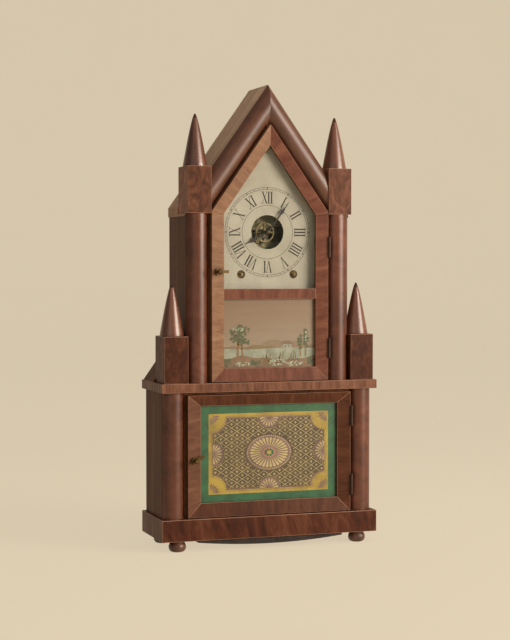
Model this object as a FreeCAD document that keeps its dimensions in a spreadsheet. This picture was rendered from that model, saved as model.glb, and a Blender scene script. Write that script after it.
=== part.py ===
import FreeCAD, Part
import math
import os
import Sketcher

# A two-deck steeple clock: a veneered case with four spires, two glazed doors on
# butt hinges, an open-centred dial, an eight-day movement that strikes on a wire
# gong, and leaf springs in the lower case that drive both trains through levers.
# X runs to the right of someone facing the dial, Y runs to the back, Z is up.
# The origin is on the floor, at the middle of the whole clock.

doc = FreeCAD.newDocument("SteepleClock")
sheet = doc.addObject("Spreadsheet::Sheet", "Dims")

dims = [
    # the case as a whole
    ("plinthDepth", 115.0, "plinth and ledge, front to back"),
    ("roofPitch", 54.65, "slope of the gable in degrees"),
    ("footHeight", 16.2, "bun feet"),
    ("footRadius", 13.0, "bun feet"),
    ("footPadRadius", 8.6, "flat that stands on the floor"),
    ("footInset", 27.0, "foot centre from the plinth's side"),
    ("footFrontInset", 15.0, "foot centre from the plinth's front"),
    ("footRearInset", 17.0, "foot centre from the plinth's back"),
    ("plinthHeight", 32.4, "plinth boards"),
    ("plinthBoard", 12.0, "thickness of the plinth's side boards"),
    ("plinthRail", 22.0, "thickness of the plinth's back rail"),
    ("baseThick", 8.0, "floor board inside the plinth"),
    ("ledgeReach", 4.5, "plinth and ledge past the sides of the lower case"),
    ("lowerCaseHeight", 186.6, "plinth to the ledge"),
    ("upperCaseHeight", 250.5, "ledge to the upper blocks"),
    ("ledgeThick", 13.4, "ledge board"),
    ("caseSetback", 18.3, "plinth front to the front plane of both cases"),
    ("rearSetback", 8.0, "plinth back to the back of both cases"),
    ("sideThick", 10.0, "case side boards"),
    ("stileThick", 10.0, "stiles and gable frame behind the columns"),
    ("backThick", 6.0, "back boards"),
    ("roofThick", 8.0, "roof boards, square to the slope"),
    ("eaveReach", 1.9, "roof past the side of the upper case"),
    # columns, blocks, spires and mouldings
    ("columnWidth", 33.4, "half-round columns, across the back"),
    ("columnRise", 12.5, "half-round columns and mouldings, front to back"),
    ("columnInset", 0.7, "case side to the column beside it"),
    ("columnGap", 2.0, "upper door to the column beside it"),
    ("lowerColumnGap", 2.5, "lower door to the column beside it"),
    ("blockWidth", 36.6, "blocks under the spires"),
    ("blockHeight", 69.4, "blocks under the spires"),
    ("blockDepth", 50.0, "blocks under the spires, front to back"),
    ("blockSetback", 4.0, "plinth front to the front of a block"),
    ("blockDrop", 3.2, "upper block below the door's shoulder"),
    ("mouldingWidth", 33.7, "gable mouldings, square to the slope"),
    ("lowerBlockGap", 0.3, "upper case side to a lower block"),
    ("spireHeight", 78.2, "spires"),
    ("spireRadius", 18.0, "foot of a spire"),
    ("spireRim", 1.6, "upright edge at the foot of a spire"),
    ("spireTipRadius", 1.4, "rounded tip of a spire"),
    ("spireTipHeight", 1.2, "rounded tip of a spire"),
    # doors
    ("doorSetback", 5.0, "plinth front to the front of both doors"),
    ("doorThick", 13.0, "both door frames"),
    ("doorGap", 1.0, "under and beside a shut door"),
    ("upperDoorHalf", 92.0, "middle of the upper door to its edge"),
    ("upperDoorStile", 19.5, "upper door stiles"),
    ("upperDoorRake", 17.9, "upper door rake rails, square to the slope"),
    ("upperBottomRail", 20.0, "upper door bottom rail"),
    ("midRailDrop", 99.8, "middle of the dial to the underside of the middle rail"),
    ("midRailWidth", 15.3, "middle rail"),
    ("lowerDoorTopGap", 4.6, "top of the lower door to the ledge"),
    ("lowerDoorStile", 20.5, "lower door stiles"),
    ("lowerTopRail", 16.0, "lower door top rail"),
    ("lowerBottomRail", 21.0, "lower door bottom rail"),
    ("doorLap", 5.5, "door over the stile that stops it"),
    ("topStopWidth", 13.2, "rail under the ledge that stops the lower door"),
    ("paneDepth", 8.0, "door front to the panes"),
    ("paneThick", 2.0, "glass panes"),
    ("paneLap", 4.0, "pane behind the frame's front lip"),
    ("paneGap", 0.3, "pane to the wall of its rebate"),
    # hinges and latches
    ("hingeOffset", 1.2, "door edge to the hinge pin"),
    ("hingeProud", 1.9, "hinge pin in front of the doors"),
    ("knuckleRadius", 1.8, "hinge knuckles"),
    ("knuckleLength", 10.0, "one hinge knuckle"),
    ("knuckleGap", 0.2, "between two knuckles of a hinge"),
    ("leafThick", 0.8, "hinge leaves"),
    ("pinRadius", 0.9, "hinge pins"),
    ("pinHead", 0.8, "hinge pin past the end knuckles"),
    ("runGap", 0.05, "running fit of pins and arbors, on the radius"),
    ("upperHingeInset", 49.0, "ends of the upper door's side to its hinges"),
    ("lowerHingeInset", 41.0, "ends of the lower door's side to its hinges"),
    ("upperLatchRise", 4.0, "winding arbors to the upper latch"),
    ("lowerLatchRise", 86.1, "plinth to the lower latch"),
    ("lowerLatchTilt", 25.0, "lower latch bar above level, in degrees"),
    ("latchCollar", 5.2, "radius of the latch collar"),
    ("latchCollarThick", 2.4, "latch collar"),
    ("latchKnobRadius", 3.8, "radius of the latch knob"),
    ("latchStand", 13.0, "latch knob in front of the door"),
    ("latchShaft", 2.0, "radius of the latch shaft"),
    ("latchBar", 15.0, "reach of the outer bar and the inner tongue"),
    ("latchBarWidth", 4.4, "outer bar and inner tongue"),
    ("latchBarThick", 2.0, "outer bar and inner tongue"),
    ("latchBack", 0.7, "tongue behind the case stile"),
    # dial and hands
    ("dialDrop", 30.3, "shoulder of the upper door to the middle of the dial"),
    ("dialSetback", 20.5, "plinth front to the dial"),
    ("dialThick", 1.0, "dial plate"),
    ("dialInset", 13.0, "edge of the upper door to the edge of the dial"),
    ("dialLap", 13.5, "dial's lower edge behind the middle rail"),
    ("dialPeakGap", 3.0, "dial's point under the gable frame"),
    ("dialHole", 25.5, "radius of the dial's open centre"),
    ("collarHole", 5.0, "radius of the dial's winding holes"),
    ("dialRailRise", 21.0, "upper latch to the foot of a dial rail"),
    ("dialRailLength", 60.0, "dial rails"),
    ("dialRailThick", 8.0, "dial rails, front to back"),
    ("dialRailLap", 9.0, "dial rail behind the dial"),
    ("minuteHandLength", 55.0, "minute hand"),
    ("hourHandLength", 40.0, "hour hand"),
    ("handWidth", 3.4, "widest part of a hand"),
    ("handTip", 0.8, "hand at its tip"),
    ("handTail", 9.0, "hand behind its middle"),
    ("handThick", 0.6, "both hands"),
    ("handBoss", 3.6, "radius of a hand's boss"),
    ("handGap", 1.0, "between the panes, the hands and the dial"),
    ("minuteAngle", 36.0, "minute hand from twelve, in degrees"),
    ("hourAngle", 243.0, "hour hand from twelve, in degrees"),
    # movement
    ("arborSpread", 41.5, "middle of the clock to a winding arbor"),
    ("arborDrop", 63.0, "middle of the dial to the winding arbors"),
    ("plateSetback", 42.0, "plinth front to the front plate"),
    ("plateThick", 2.0, "movement plates"),
    ("plateSpace", 36.0, "between the movement plates"),
    ("plateReach", 38.5, "winding arbor to the side edge of the plates"),
    ("plateDrop", 37.0, "winding arbors to the lower edge of the plates"),
    ("plateRise", 10.0, "verge arbor to the upper edge of the plates"),
    ("pillarRadius", 3.0, "pillars and posts"),
    ("pillarInset", 6.0, "pillar from the plates' edges"),
    ("arborRadius", 1.3, "train arbors"),
    ("windRadius", 2.4, "winding arbors"),
    ("windSquare", 3.2, "square end of a winding arbor"),
    ("windSquareLength", 8.0, "square end of a winding arbor"),
    ("windSetback", 16.0, "plinth front to the end of a winding arbor"),
    ("drumRadius", 11.0, "cord drums"),
    ("drumLength", 12.0, "cord drums"),
    ("drumFlange", 13.5, "radius of a drum's flanges"),
    ("drumFlangeThick", 1.2, "a drum's flanges"),
    ("wheelThick", 2.0, "train wheels"),
    ("wheelGap", 1.0, "wheel to the end discs of a lantern pinion"),
    ("shroudThick", 1.0, "end discs of a lantern pinion"),
    ("driveModule", 1.25, "great wheels and second wheels"),
    ("centreModule", 0.65, "centre wheel"),
    ("thirdModule", 0.60, "third wheel"),
    ("cannonModule", 0.80, "cannon pinion and minute wheel"),
    ("hourModule", 0.64, "minute pinion and hour wheel"),
    ("escapeDrop", 30.0, "centre arbor to the escape arbor"),
    ("escapeRadius", 13.0, "escape wheel to its tips"),
    ("escapeThick", 1.5, "escape wheel and verge"),
    ("vergeRise", 16.0, "escape arbor to the verge arbor"),
    ("vergeReach", 9.2, "verge arbor to a pallet, sideways"),
    ("palletGap", 0.9, "pallet to the escape wheel's tips"),
    ("vergeBand", 1.6, "verge strip"),
    ("crutchLength", 44.0, "verge arbor to the crutch's foot"),
    ("crutchWire", 0.8, "half the thickness of the crutch"),
    ("crutchGap", 0.4, "crutch fork to the pendulum rod"),
    ("crutchSetback", 85.5, "plinth front to the crutch"),
    ("pendulumSetback", 90.5, "plinth front to the pendulum rod"),
    ("pendulumClear", 27.4, "ledge to the pendulum's lower end"),
    ("rodRadius", 0.9, "pendulum rod"),
    ("bobRadius", 17.0, "pendulum bob"),
    ("bobThick", 9.0, "pendulum bob"),
    ("bobRim", 2.0, "upright edge of the bob"),
    ("bobNut", 2.6, "radius of the rating nut"),
    ("bobNutLength", 4.0, "rating nut"),
    ("cockWidth", 14.0, "suspension cock"),
    ("cockHeight", 9.0, "suspension cock"),
    ("cockGap", 0.4, "suspension cock above the pendulum's top"),
    # motion work on the front plate
    ("cannonSetback", 36.0, "plinth front to the cannon pinion"),
    ("cannonLength", 3.0, "cannon pinion"),
    ("hourWheelSetback", 32.0, "plinth front to the hour wheel"),
    ("hourPipeRadius", 2.6, "hour pipe"),
    ("studRadius", 1.2, "stud of the minute wheel"),
    # strike work
    ("flyRadius", 11.5, "fly, arbor to the edge of its vane"),
    ("flyLength", 9.0, "fly, front to back"),
    ("flyThick", 0.8, "fly vane"),
    ("flyAngle", 110.0, "direction of the fly from the pin wheel, in degrees"),
    ("strikePinRadius", 1.1, "lifting pins on the strike pin wheel"),
    ("strikePinLength", 1.6, "lifting pins on the strike pin wheel"),
    ("gongInset", 38.1, "inside of the case side to the gong's middle"),
    ("gongDrop", 87.0, "winding arbors to the gong's middle"),
    ("gongStep", 6.0, "spacing of the gong's turns"),
    ("gongStart", 6.0, "radius of the gong's first half turn"),
    ("gongWire", 1.3, "radius of the gong wire"),
    ("gongGap", 9.0, "back board to the gong"),
    ("gongBaseSize", 14.0, "gong block"),
    ("hammerReach", 18.5, "winding arbor to the hammer arbor, sideways"),
    ("hammerFall", 33.0, "winding arbors to the hammer arbor"),
    ("hammerDrop", 54.0, "hammer arbor to the hammer's head"),
    ("hammerHead", 4.0, "radius of the hammer's head"),
    ("hammerWire", 1.0, "radius of the hammer's wire"),
    ("hammerSetback", 91.0, "plinth front to the hammer's wire"),
    # springs and levers in the lower case
    ("leafInset", 26.0, "end of the main leaf to a lever's pin, sideways"),
    ("leafSag", 16.0, "rise of the main leaf's ends"),
    ("leafWidth", 24.0, "spring leaves, front to back"),
    ("leafDepth", 2.4, "thickness of one spring leaf"),
    ("leafGap", 0.2, "between two spring leaves"),
    ("saddleHeight", 8.0, "saddle under the spring leaves"),
    ("saddleHalf", 12.0, "middle of the saddle to its end"),
    ("saddleDepth", 42.0, "saddle, front to back"),
    ("boltRadius", 2.5, "clamp bolts"),
    ("boltInset", 4.5, "clamp bolt from the saddle's end"),
    ("clampThick", 5.0, "clamp plate over the spring leaves"),
    ("bowInset", 15.8, "end of the bow to the feet beside it"),
    ("bowSag", 6.6, "drop of the bow's middle"),
    ("bowThick", 3.0, "bow under the plinth"),
    ("bowWidth", 14.0, "bow, front to back"),
    ("bowSetback", 3.0, "plinth front to the bow"),
    ("bowBolt", 3.0, "radius of the bow's bolt"),
    ("leverInset", 33.3, "case side to a lever's pin"),
    ("leverRise", 14.0, "lever pin above the leaf ends"),
    ("leverBand", 7.0, "lever bar, top to bottom"),
    ("leverThick", 4.0, "lever bar, front to back"),
    ("leverEye", 5.0, "lever past its cord"),
    ("hookReach", 4.0, "lever hook under the end of the main leaf"),
    ("hookThick", 3.5, "lever hook"),
    ("leverPinRadius", 2.2, "lever pins"),
    ("bracketThick", 4.0, "cheeks of a lever bracket"),
    ("bracketGap", 0.3, "lever to a bracket's cheek"),
    ("bracketHalf", 9.0, "lever pin to the side of a cheek"),
    ("cordRadius", 1.0, "drive cords"),
    ("cordGap", 0.3, "cord to its drum and its lever"),
    ("cordHole", 3.5, "radius of the cord holes in the ledge"),
    ("seatGap", 0.3, "soft seats and loose neighbours"),
    ("overrun", 2.0, "how far a cutting tool passes its piece"),
]

greatTeeth = 56
pinionLeaves = 8
centreTeeth = 80
thirdTeeth = 72
cannonTeeth = 12
minuteTeeth = 36
minuteLeaves = 12
hourTeeth = 48
escapeTeeth = 42
toothThickShare = 0.40
toothTipShare = 0.18
toothRiseShare = 0.60
toothRootShare = 1.00
trundleShare = 0.50
wheelRimShare = 0.84
wheelHubShare = 0.17
wheelArmShare = 0.09
wheelArms = 4
leafLengthShares = (1.0, 0.80, 0.62, 0.44, 0.28)
# foot and knob outlines: share of the radius and of the height at each turn
footShares = ((1.0, 0.28), (1.0, 0.52), (0.69, 0.84), (0.94, 0.88), (0.94, 1.0))
knobShares = ((0.7, 0.0), (1.0, 0.14), (1.0, 0.30), (0.53, 0.52))
bobFaceShare = 0.60
handWaistShares = (0.50, 0.55)
toothFootShare = 0.70
escapeTipShares = (0.12, 0.62)
escapeDeepShare = 0.09
strikeRingShare = 0.90
vergeShares = {"shoulder": 1.6, "belly": 0.4, "crown": 2.6, "hub": 1.5}
pipeHubShare = 1.5
hammerGapShare = 1.5
hingeKnuckles = 3
# each wheel's layer behind the front plate, in wheel thicknesses
trainLayers = {"third": 1, "centre": 3, "escape": 5, "pinWheel": 5, "second": 7, "great": 9}
gongTurns = 4
minuteWheelAngle = 225.0

for row, (alias, value, note) in enumerate(dims, start=1):
    sheet.set(f"A{row}", note)
    sheet.set(f"B{row}", repr(value))
    sheet.setAlias(f"B{row}", alias)
doc.recompute()


class Size:
    # A value that remembers the sheet expression it came from.
    def __init__(self, text, value):
        self.text = text
        self.value = float(value)

    def __add__(self, other):
        return joined(self, "+", other)

    def __radd__(self, other):
        return joined(other, "+", self)

    def __sub__(self, other):
        return joined(self, "-", other)

    def __rsub__(self, other):
        return joined(other, "-", self)

    def __mul__(self, other):
        return joined(self, "*", other)

    def __rmul__(self, other):
        return joined(other, "*", self)

    def __truediv__(self, other):
        return joined(self, "/", other)

    def __rtruediv__(self, other):
        return joined(other, "/", self)

    def __neg__(self):
        return Size(f"(-1 * {self.text})", -self.value)


def sized(value):
    return value if isinstance(value, Size) else Size(repr(float(value)), value)


def joined(first, sign, second):
    a = sized(first)
    b = sized(second)
    results = {"+": lambda: a.value + b.value, "-": lambda: a.value - b.value,
               "*": lambda: a.value * b.value, "/": lambda: a.value / b.value}
    return Size(f"({a.text} {sign} {b.text})", results[sign]())


def function(name, size, value):
    return Size(f"{name}({size.text})", value)


def root(size):
    return function("sqrt", size, math.sqrt(size.value))


class SheetSizes:
    # Gives each alias of the sheet as an attribute.
    def __init__(self, rows):
        for alias, value, note in rows:
            setattr(self, alias, Size(f"Dims.{alias}", value))


s = SheetSizes(dims)
zero = Size("0", 0)

# places that many pieces share
slope = function("tan", s.roofPitch, math.tan(math.radians(s.roofPitch.value)))
rakeScale = 1 / function("cos", s.roofPitch, math.cos(math.radians(s.roofPitch.value)))
halfColumn = s.columnWidth / 2
halfBlock = s.blockWidth / 2
# across, from the upper door outwards
upperColumnPlace = s.upperDoorHalf + s.columnGap + halfColumn
halfUpper = upperColumnPlace + halfColumn + s.columnInset
lowerBlockPlace = halfUpper + s.lowerBlockGap + halfBlock
halfLower = lowerBlockPlace + halfBlock + s.lowerBlockGap
halfPlinth = halfLower + s.ledgeReach
lowerColumnPlace = halfLower - s.columnInset - halfColumn
lowerDoorHalf = lowerColumnPlace - halfColumn - s.lowerColumnGap
upperStileEdge = s.upperDoorHalf - s.doorLap
lowerStileEdge = lowerDoorHalf - s.doorLap
blockInner = upperColumnPlace - halfBlock
dialHalf = s.upperDoorHalf - s.dialInset
plateHalf = s.arborSpread + s.plateReach
gongPlace = halfUpper - s.sideThick - s.gongInset
hammerPlace = s.arborSpread + s.hammerReach
leverPivot = halfLower - s.sideThick - s.leverInset
leafHalf = leverPivot - s.leafInset
cordAcross = s.arborSpread + s.drumRadius + s.cordRadius + s.cordGap
latchPlaceUpper = -(s.upperDoorHalf - s.upperDoorStile / 2)
latchPlaceLower = -(lowerDoorHalf - s.lowerDoorStile / 2)
# upwards, from the floor
plinthTop = s.footHeight + s.plinthHeight
ledgeHeight = plinthTop + s.lowerCaseHeight
ledgeTop = ledgeHeight + s.ledgeThick
upperBlockHeight = ledgeTop + s.upperCaseHeight
blockTop = upperBlockHeight + s.blockHeight
doorShoulder = upperBlockHeight + s.blockDrop
doorApex = doorShoulder + slope * s.upperDoorHalf
mouldingApex = doorApex + s.doorGap * rakeScale
ridge = mouldingApex + s.mouldingWidth * rakeScale
roofUnder = ridge - s.roofThick * rakeScale
frameApex = doorApex - s.doorLap * rakeScale
dialHeight = doorShoulder - s.dialDrop
midRailHeight = dialHeight - s.midRailDrop
midRailTop = midRailHeight + s.midRailWidth
arborHeight = dialHeight - s.arborDrop
upperLatchHeight = arborHeight + s.upperLatchRise
lowerLatchHeight = plinthTop + s.lowerLatchRise
pendulumPivot = dialHeight + s.escapeDrop + s.vergeRise
# backwards, with the latch knobs in front of the plinth
knobProud = s.latchStand - s.doorSetback
front = (s.plinthDepth + knobProud) / -2 + knobProud
back = front + s.plinthDepth
caseFront = front + s.caseSetback
caseBack = back - s.rearSetback
boardFront = caseBack - s.backThick
doorFront = front + s.doorSetback
doorBack = doorFront + s.doorThick
blockFront = front + s.blockSetback
blockBack = blockFront + s.blockDepth
paneFront = doorFront + s.paneDepth
paneBack = paneFront + s.paneThick
minuteHandFront = paneBack + s.handGap
hourHandFront = minuteHandFront + s.handThick + s.handGap
frontPlate = front + s.plateSetback
trainFront = frontPlate + s.plateThick
backPlate = trainFront + s.plateSpace
plateBack = backPlate + s.plateThick
drumFront = trainFront + s.wheelThick * (trainLayers["great"] + 1) + s.wheelGap / 2
cordPlace = drumFront + s.drumLength / 2

nodes = []


def bind(item, prop, size):
    size = sized(size)
    setattr(item, prop, size.value)
    item.setExpression(prop, size.text)


def place(item, base, axis=(0, 0, 1), angle=0):
    base = [sized(value) for value in base]
    turn = sized(angle)
    item.Placement = FreeCAD.Placement(
        FreeCAD.Vector(*[value.value for value in base]),
        FreeCAD.Rotation(FreeCAD.Vector(*axis), turn.value))
    for letter, value in zip("xyz", base):
        item.setExpression(f"Placement.Base.{letter}", value.text)
    if isinstance(angle, Size):
        item.setExpression("Placement.Rotation.Angle", turn.text)
    return item


def keep(name, item):
    item.Label = name
    nodes.append(item)
    return item


def box(name, xs, ys, zs):
    item = doc.addObject("Part::Box", name)
    bind(item, "Length", xs[1] - xs[0])
    bind(item, "Width", ys[1] - ys[0])
    bind(item, "Height", zs[1] - zs[0])
    return place(item, (xs[0], ys[0], zs[0]))


def rod(name, base, radius, length, direction="y"):
    # A cylinder from base along +X, +Y or +Z.
    item = doc.addObject("Part::Cylinder", name)
    bind(item, "Radius", radius)
    bind(item, "Height", length)
    turns = {"x": ((0, 1, 0), 90), "y": ((1, 0, 0), -90), "z": ((0, 0, 1), 0)}
    return place(item, base, *turns[direction])


def sketch(body, points):
    # A closed outline on the body's XZ plane: (across, up) for each corner.
    drawing = body.newObject("Sketcher::SketchObject", body.Name + "Sketch")
    plane = [item for item in body.Origin.OriginFeatures if item.Role == "XZ_Plane"][0]
    drawing.AttachmentSupport = [(plane, "")]
    drawing.MapMode = "FlatFace"
    corners = [(sized(across), sized(up)) for across, up in points]
    places = [FreeCAD.Vector(across.value, up.value, 0) for across, up in corners]
    for index, corner in enumerate(places):
        drawing.addGeometry(Part.LineSegment(corner, places[(index + 1) % len(places)]))
    for index in range(len(places)):
        following = (index + 1) % len(places)
        drawing.addConstraint(Sketcher.Constraint("Coincident", index, 2, following, 1))
    for index, corner in enumerate(corners):
        for kind, size in zip(("DistanceX", "DistanceY"), corner):
            rule = Sketcher.Constraint(kind, -1, 1, index, 1, size.value)
            number = drawing.addConstraint(rule)
            drawing.setExpression(f"Constraints[{number}]", size.text)
    return drawing


def prism(name, points, near, far):
    # An outline seen from the front, carried from near to far along Y.
    body = doc.addObject("PartDesign::Body", name)
    drawing = sketch(body, points)
    drawing.AttachmentOffset = FreeCAD.Placement(
        FreeCAD.Vector(0, 0, -sized(far).value), FreeCAD.Rotation())
    drawing.setExpression("AttachmentOffset.Base.z", (-sized(far)).text)
    pad = body.newObject("PartDesign::Pad", name + "Pad")
    pad.Profile = drawing
    bind(pad, "Length", far - near)
    return body


def turned(name, points, base, direction="z"):
    # A lathe profile, (radius, height) for each corner, turned about its own axis.
    body = doc.addObject("PartDesign::Body", name)
    drawing = sketch(body, points)
    turning = body.newObject("PartDesign::Revolution", name + "Turning")
    turning.Profile = drawing
    turning.ReferenceAxis = (drawing, ["V_Axis"])
    turning.Angle = 360
    turns = {"y": ((1, 0, 0), -90), "z": ((0, 0, 1), 0)}
    return place(body, base, *turns[direction])


def cut(name, base, *tools):
    item = doc.addObject("Part::Cut", name)
    item.Base = base
    item.Tool = tools[0] if len(tools) == 1 else fused(name + "Tools", *tools)
    return item


def fused(name, *parts):
    item = doc.addObject("Part::MultiFuse", name)
    item.Shapes = list(parts)
    return item


def common(name, first, second):
    item = doc.addObject("Part::Common", name)
    item.Base = first
    item.Tool = second
    return item


def mirror(name, source):
    item = doc.addObject("Part::Mirroring", name)
    item.Source = source
    item.Normal = FreeCAD.Vector(1, 0, 0)
    return item


def group(name, *parts):
    item = doc.addObject("Part::Compound", name)
    item.Links = list(parts)
    return keep(name, item)


def pair(name, source):
    return group(name, source, mirror(name + "Mirror", source))


def made(name, solids, base):
    # A piece whose shape is worked out here, from sheet values, about its own axis.
    item = doc.addObject("Part::Feature", name)
    item.Shape = solids[0].multiFuse(solids[1:]).removeSplitter() if len(solids) > 1 else solids[0]
    item.Placement = FreeCAD.Placement(
        FreeCAD.Vector(*[sized(value).value for value in base]), FreeCAD.Rotation())
    return keep(name, item)


def bend(half, sag):
    # The radius of an arc that rises by sag at half its length.
    return (half * half + sag * sag) / (2 * sag)


def buildPlinth():
    foot = [
        (zero, zero),
        (s.footPadRadius, zero),
    ]
    foot += [(s.footRadius * wide, s.footHeight * high) for wide, high in footShares]
    foot.append((zero, s.footHeight))
    feet = []
    for label, depth in (("Front", front + s.footFrontInset), ("Rear", back - s.footRearInset)):
        one = turned("foot" + label, foot, (halfPlinth - s.footInset, depth, zero))
        feet += [one, mirror("foot" + label + "Left", one)]
    group("bun_feet", *feet)
    inner = halfPlinth - s.plinthBoard
    floor = plinthTop - s.baseThick
    upright = (s.footHeight, plinthTop)
    side = box("plinthSide", (inner, halfPlinth), (caseFront, back), upright)
    group("plinth_boards",
          box("plinthFront", (-halfPlinth, halfPlinth), (front, caseFront), upright),
          side, mirror("plinthSideLeft", side),
          box("plinthRail", (-inner, inner), (back - s.plinthRail, back), (s.footHeight, floor)))
    keep("base_board", box("base_board", (-inner, inner), (caseFront, back), (floor, plinthTop)))


def halfRound(name, across, low, high):
    # A round bar whose back is cut flat where it is glued to the stile.
    half = halfColumn
    radius = bend(half, s.columnRise)
    bar = rod(name + "Bar", (across, caseFront - s.columnRise + radius, low), radius,
              high - low, "z")
    block = box(name + "Block", (across - half, across + half),
                (caseFront - s.columnRise, caseFront), (low, high))
    return common(name, bar, block)


def spire(name, across, low):
    rim = s.spireRim
    shape = [
        (zero, zero),
        (s.spireRadius, zero),
        (s.spireRadius, rim),
        (s.spireTipRadius, s.spireHeight - s.spireTipHeight),
        (s.spireTipRadius / 2, s.spireHeight - s.spireTipHeight / 4),
        (zero, s.spireHeight),
    ]
    return turned(name, shape, (across, blockFront + s.blockDepth / 2, low))


def block(name, across, low):
    return box(name, (across - halfBlock, across + halfBlock), (blockFront, blockBack),
               (low, low + s.blockHeight))


def buildLowerCase():
    inner = halfLower - s.sideThick
    high = ledgeHeight
    pair("lower_sides", box("lowerSide", (inner, halfLower), (caseFront, caseBack),
                            (plinthTop, high)))
    stile = box("lowerStile", (lowerStileEdge, inner), (caseFront, caseFront + s.stileThick),
                (plinthTop, high))
    stop = box("lowerTopStop", (-lowerStileEdge, lowerStileEdge),
               (caseFront, caseFront + s.stileThick), (high - s.topStopWidth, high))
    group("lower_stiles", stile, mirror("lowerStileLeft", stile), stop)
    pair("lower_columns", halfRound("lowerColumn", lowerColumnPlace, plinthTop, high))
    ledge = box("ledgePlain", (-halfPlinth, halfPlinth), (front, back), (high, ledgeTop))
    holes = []
    for name, sign in (("cordHoleRight", 1), ("cordHoleLeft", -1)):
        across = cordAcross * sign
        holes.append(rod(name, (across, cordPlace, high - s.overrun), s.cordHole,
                         s.ledgeThick + 2 * s.overrun, "z"))
    keep("ledge_board", cut("ledge_board", ledge, *holes))
    pair("lower_blocks", block("lowerBlock", lowerBlockPlace, ledgeTop))
    pair("lower_spires", spire("lowerSpire", lowerBlockPlace, ledgeTop + s.blockHeight))
    wall = halfUpper + s.lowerBlockGap
    wing = [(wall, ledgeTop), (halfPlinth, ledgeTop), (wall, ledgeTop + slope * (halfPlinth - wall))]
    pair("wing_roofs", prism("wingRoof", wing, blockBack, caseBack))


def buildUpperCase():
    inner = halfUpper - s.sideThick
    eave = halfUpper + s.eaveReach
    notch = (upperBlockHeight, blockTop)
    side = [(inner, ledgeTop), (halfUpper, ledgeTop), (halfUpper, roofUnder - slope * halfUpper),
            (inner, roofUnder - slope * inner)]
    sideNotch = box("sideNotch", (inner - s.overrun, eave + s.overrun),
                    (front, blockBack), notch)
    pair("upper_sides", cut("upperSide", prism("upperSidePlain", side, caseFront, caseBack),
                            sideNotch))
    stile = box("upperStile", (upperStileEdge, inner), (caseFront, caseFront + s.stileThick),
                (ledgeTop, upperBlockHeight))
    pair("upper_columns", halfRound("upperColumn", upperColumnPlace, ledgeTop,
                                      upperBlockHeight))
    pair("upper_blocks", block("upperBlock", upperColumnPlace, upperBlockHeight))
    pair("upper_spires", spire("upperSpire", upperColumnPlace, blockTop))
    rake = [(zero, frameApex), (upperStileEdge, frameApex - slope * upperStileEdge),
            (upperStileEdge, upperBlockHeight), (blockInner, upperBlockHeight),
            (blockInner, roofUnder - slope * blockInner), (zero, roofUnder)]
    gable = prism("gableRake", rake, caseFront, caseFront + s.stileThick)
    group("upper_front_frame", stile, mirror("upperStileLeft", stile), gable,
          mirror("gableRakeLeft", gable))
    board = [(zero, roofUnder), (eave, roofUnder - slope * eave),
             (eave, ridge - slope * eave), (zero, ridge)]
    roofNotch = box("roofNotch", (blockInner, eave + s.overrun), (front, blockBack), notch)
    pair("roof_boards", cut("roofBoard", prism("roofBoardPlain", board, caseFront, caseBack),
                            roofNotch))
    backShape = [(-inner, ledgeTop), (inner, ledgeTop), (inner, roofUnder - slope * inner),
                 (zero, roofUnder), (-inner, roofUnder - slope * inner)]
    lowerInner = halfLower - s.sideThick
    group("back_boards", prism("upperBack", backShape, boardFront, caseBack),
          box("lowerBack", (-lowerInner, lowerInner), (boardFront, caseBack),
              (plinthTop, ledgeHeight)))


def buildMouldings():
    # A half-round moulding on each rake, mitred at the ridge and stopped by the block.
    low = mouldingApex
    radius = bend(s.mouldingWidth / 2, s.columnRise)
    middle = (ridge + low) / 2
    band = [(zero, low), (blockInner, low - slope * blockInner),
            (blockInner, ridge - slope * blockInner), (zero, ridge)]
    strip = prism("mouldingBand", band, caseFront - s.columnRise, caseFront)
    start = -s.blockWidth
    bar = doc.addObject("Part::Cylinder", "mouldingBar")
    bind(bar, "Radius", radius)
    bind(bar, "Height", (blockInner + 2 * s.blockWidth) * rakeScale)
    place(bar, (start, caseFront - s.columnRise + radius, middle - slope * start),
          (0, 1, 0), 90 + s.roofPitch)
    pair("gable_mouldings", common("gableMoulding", strip, bar))


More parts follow.
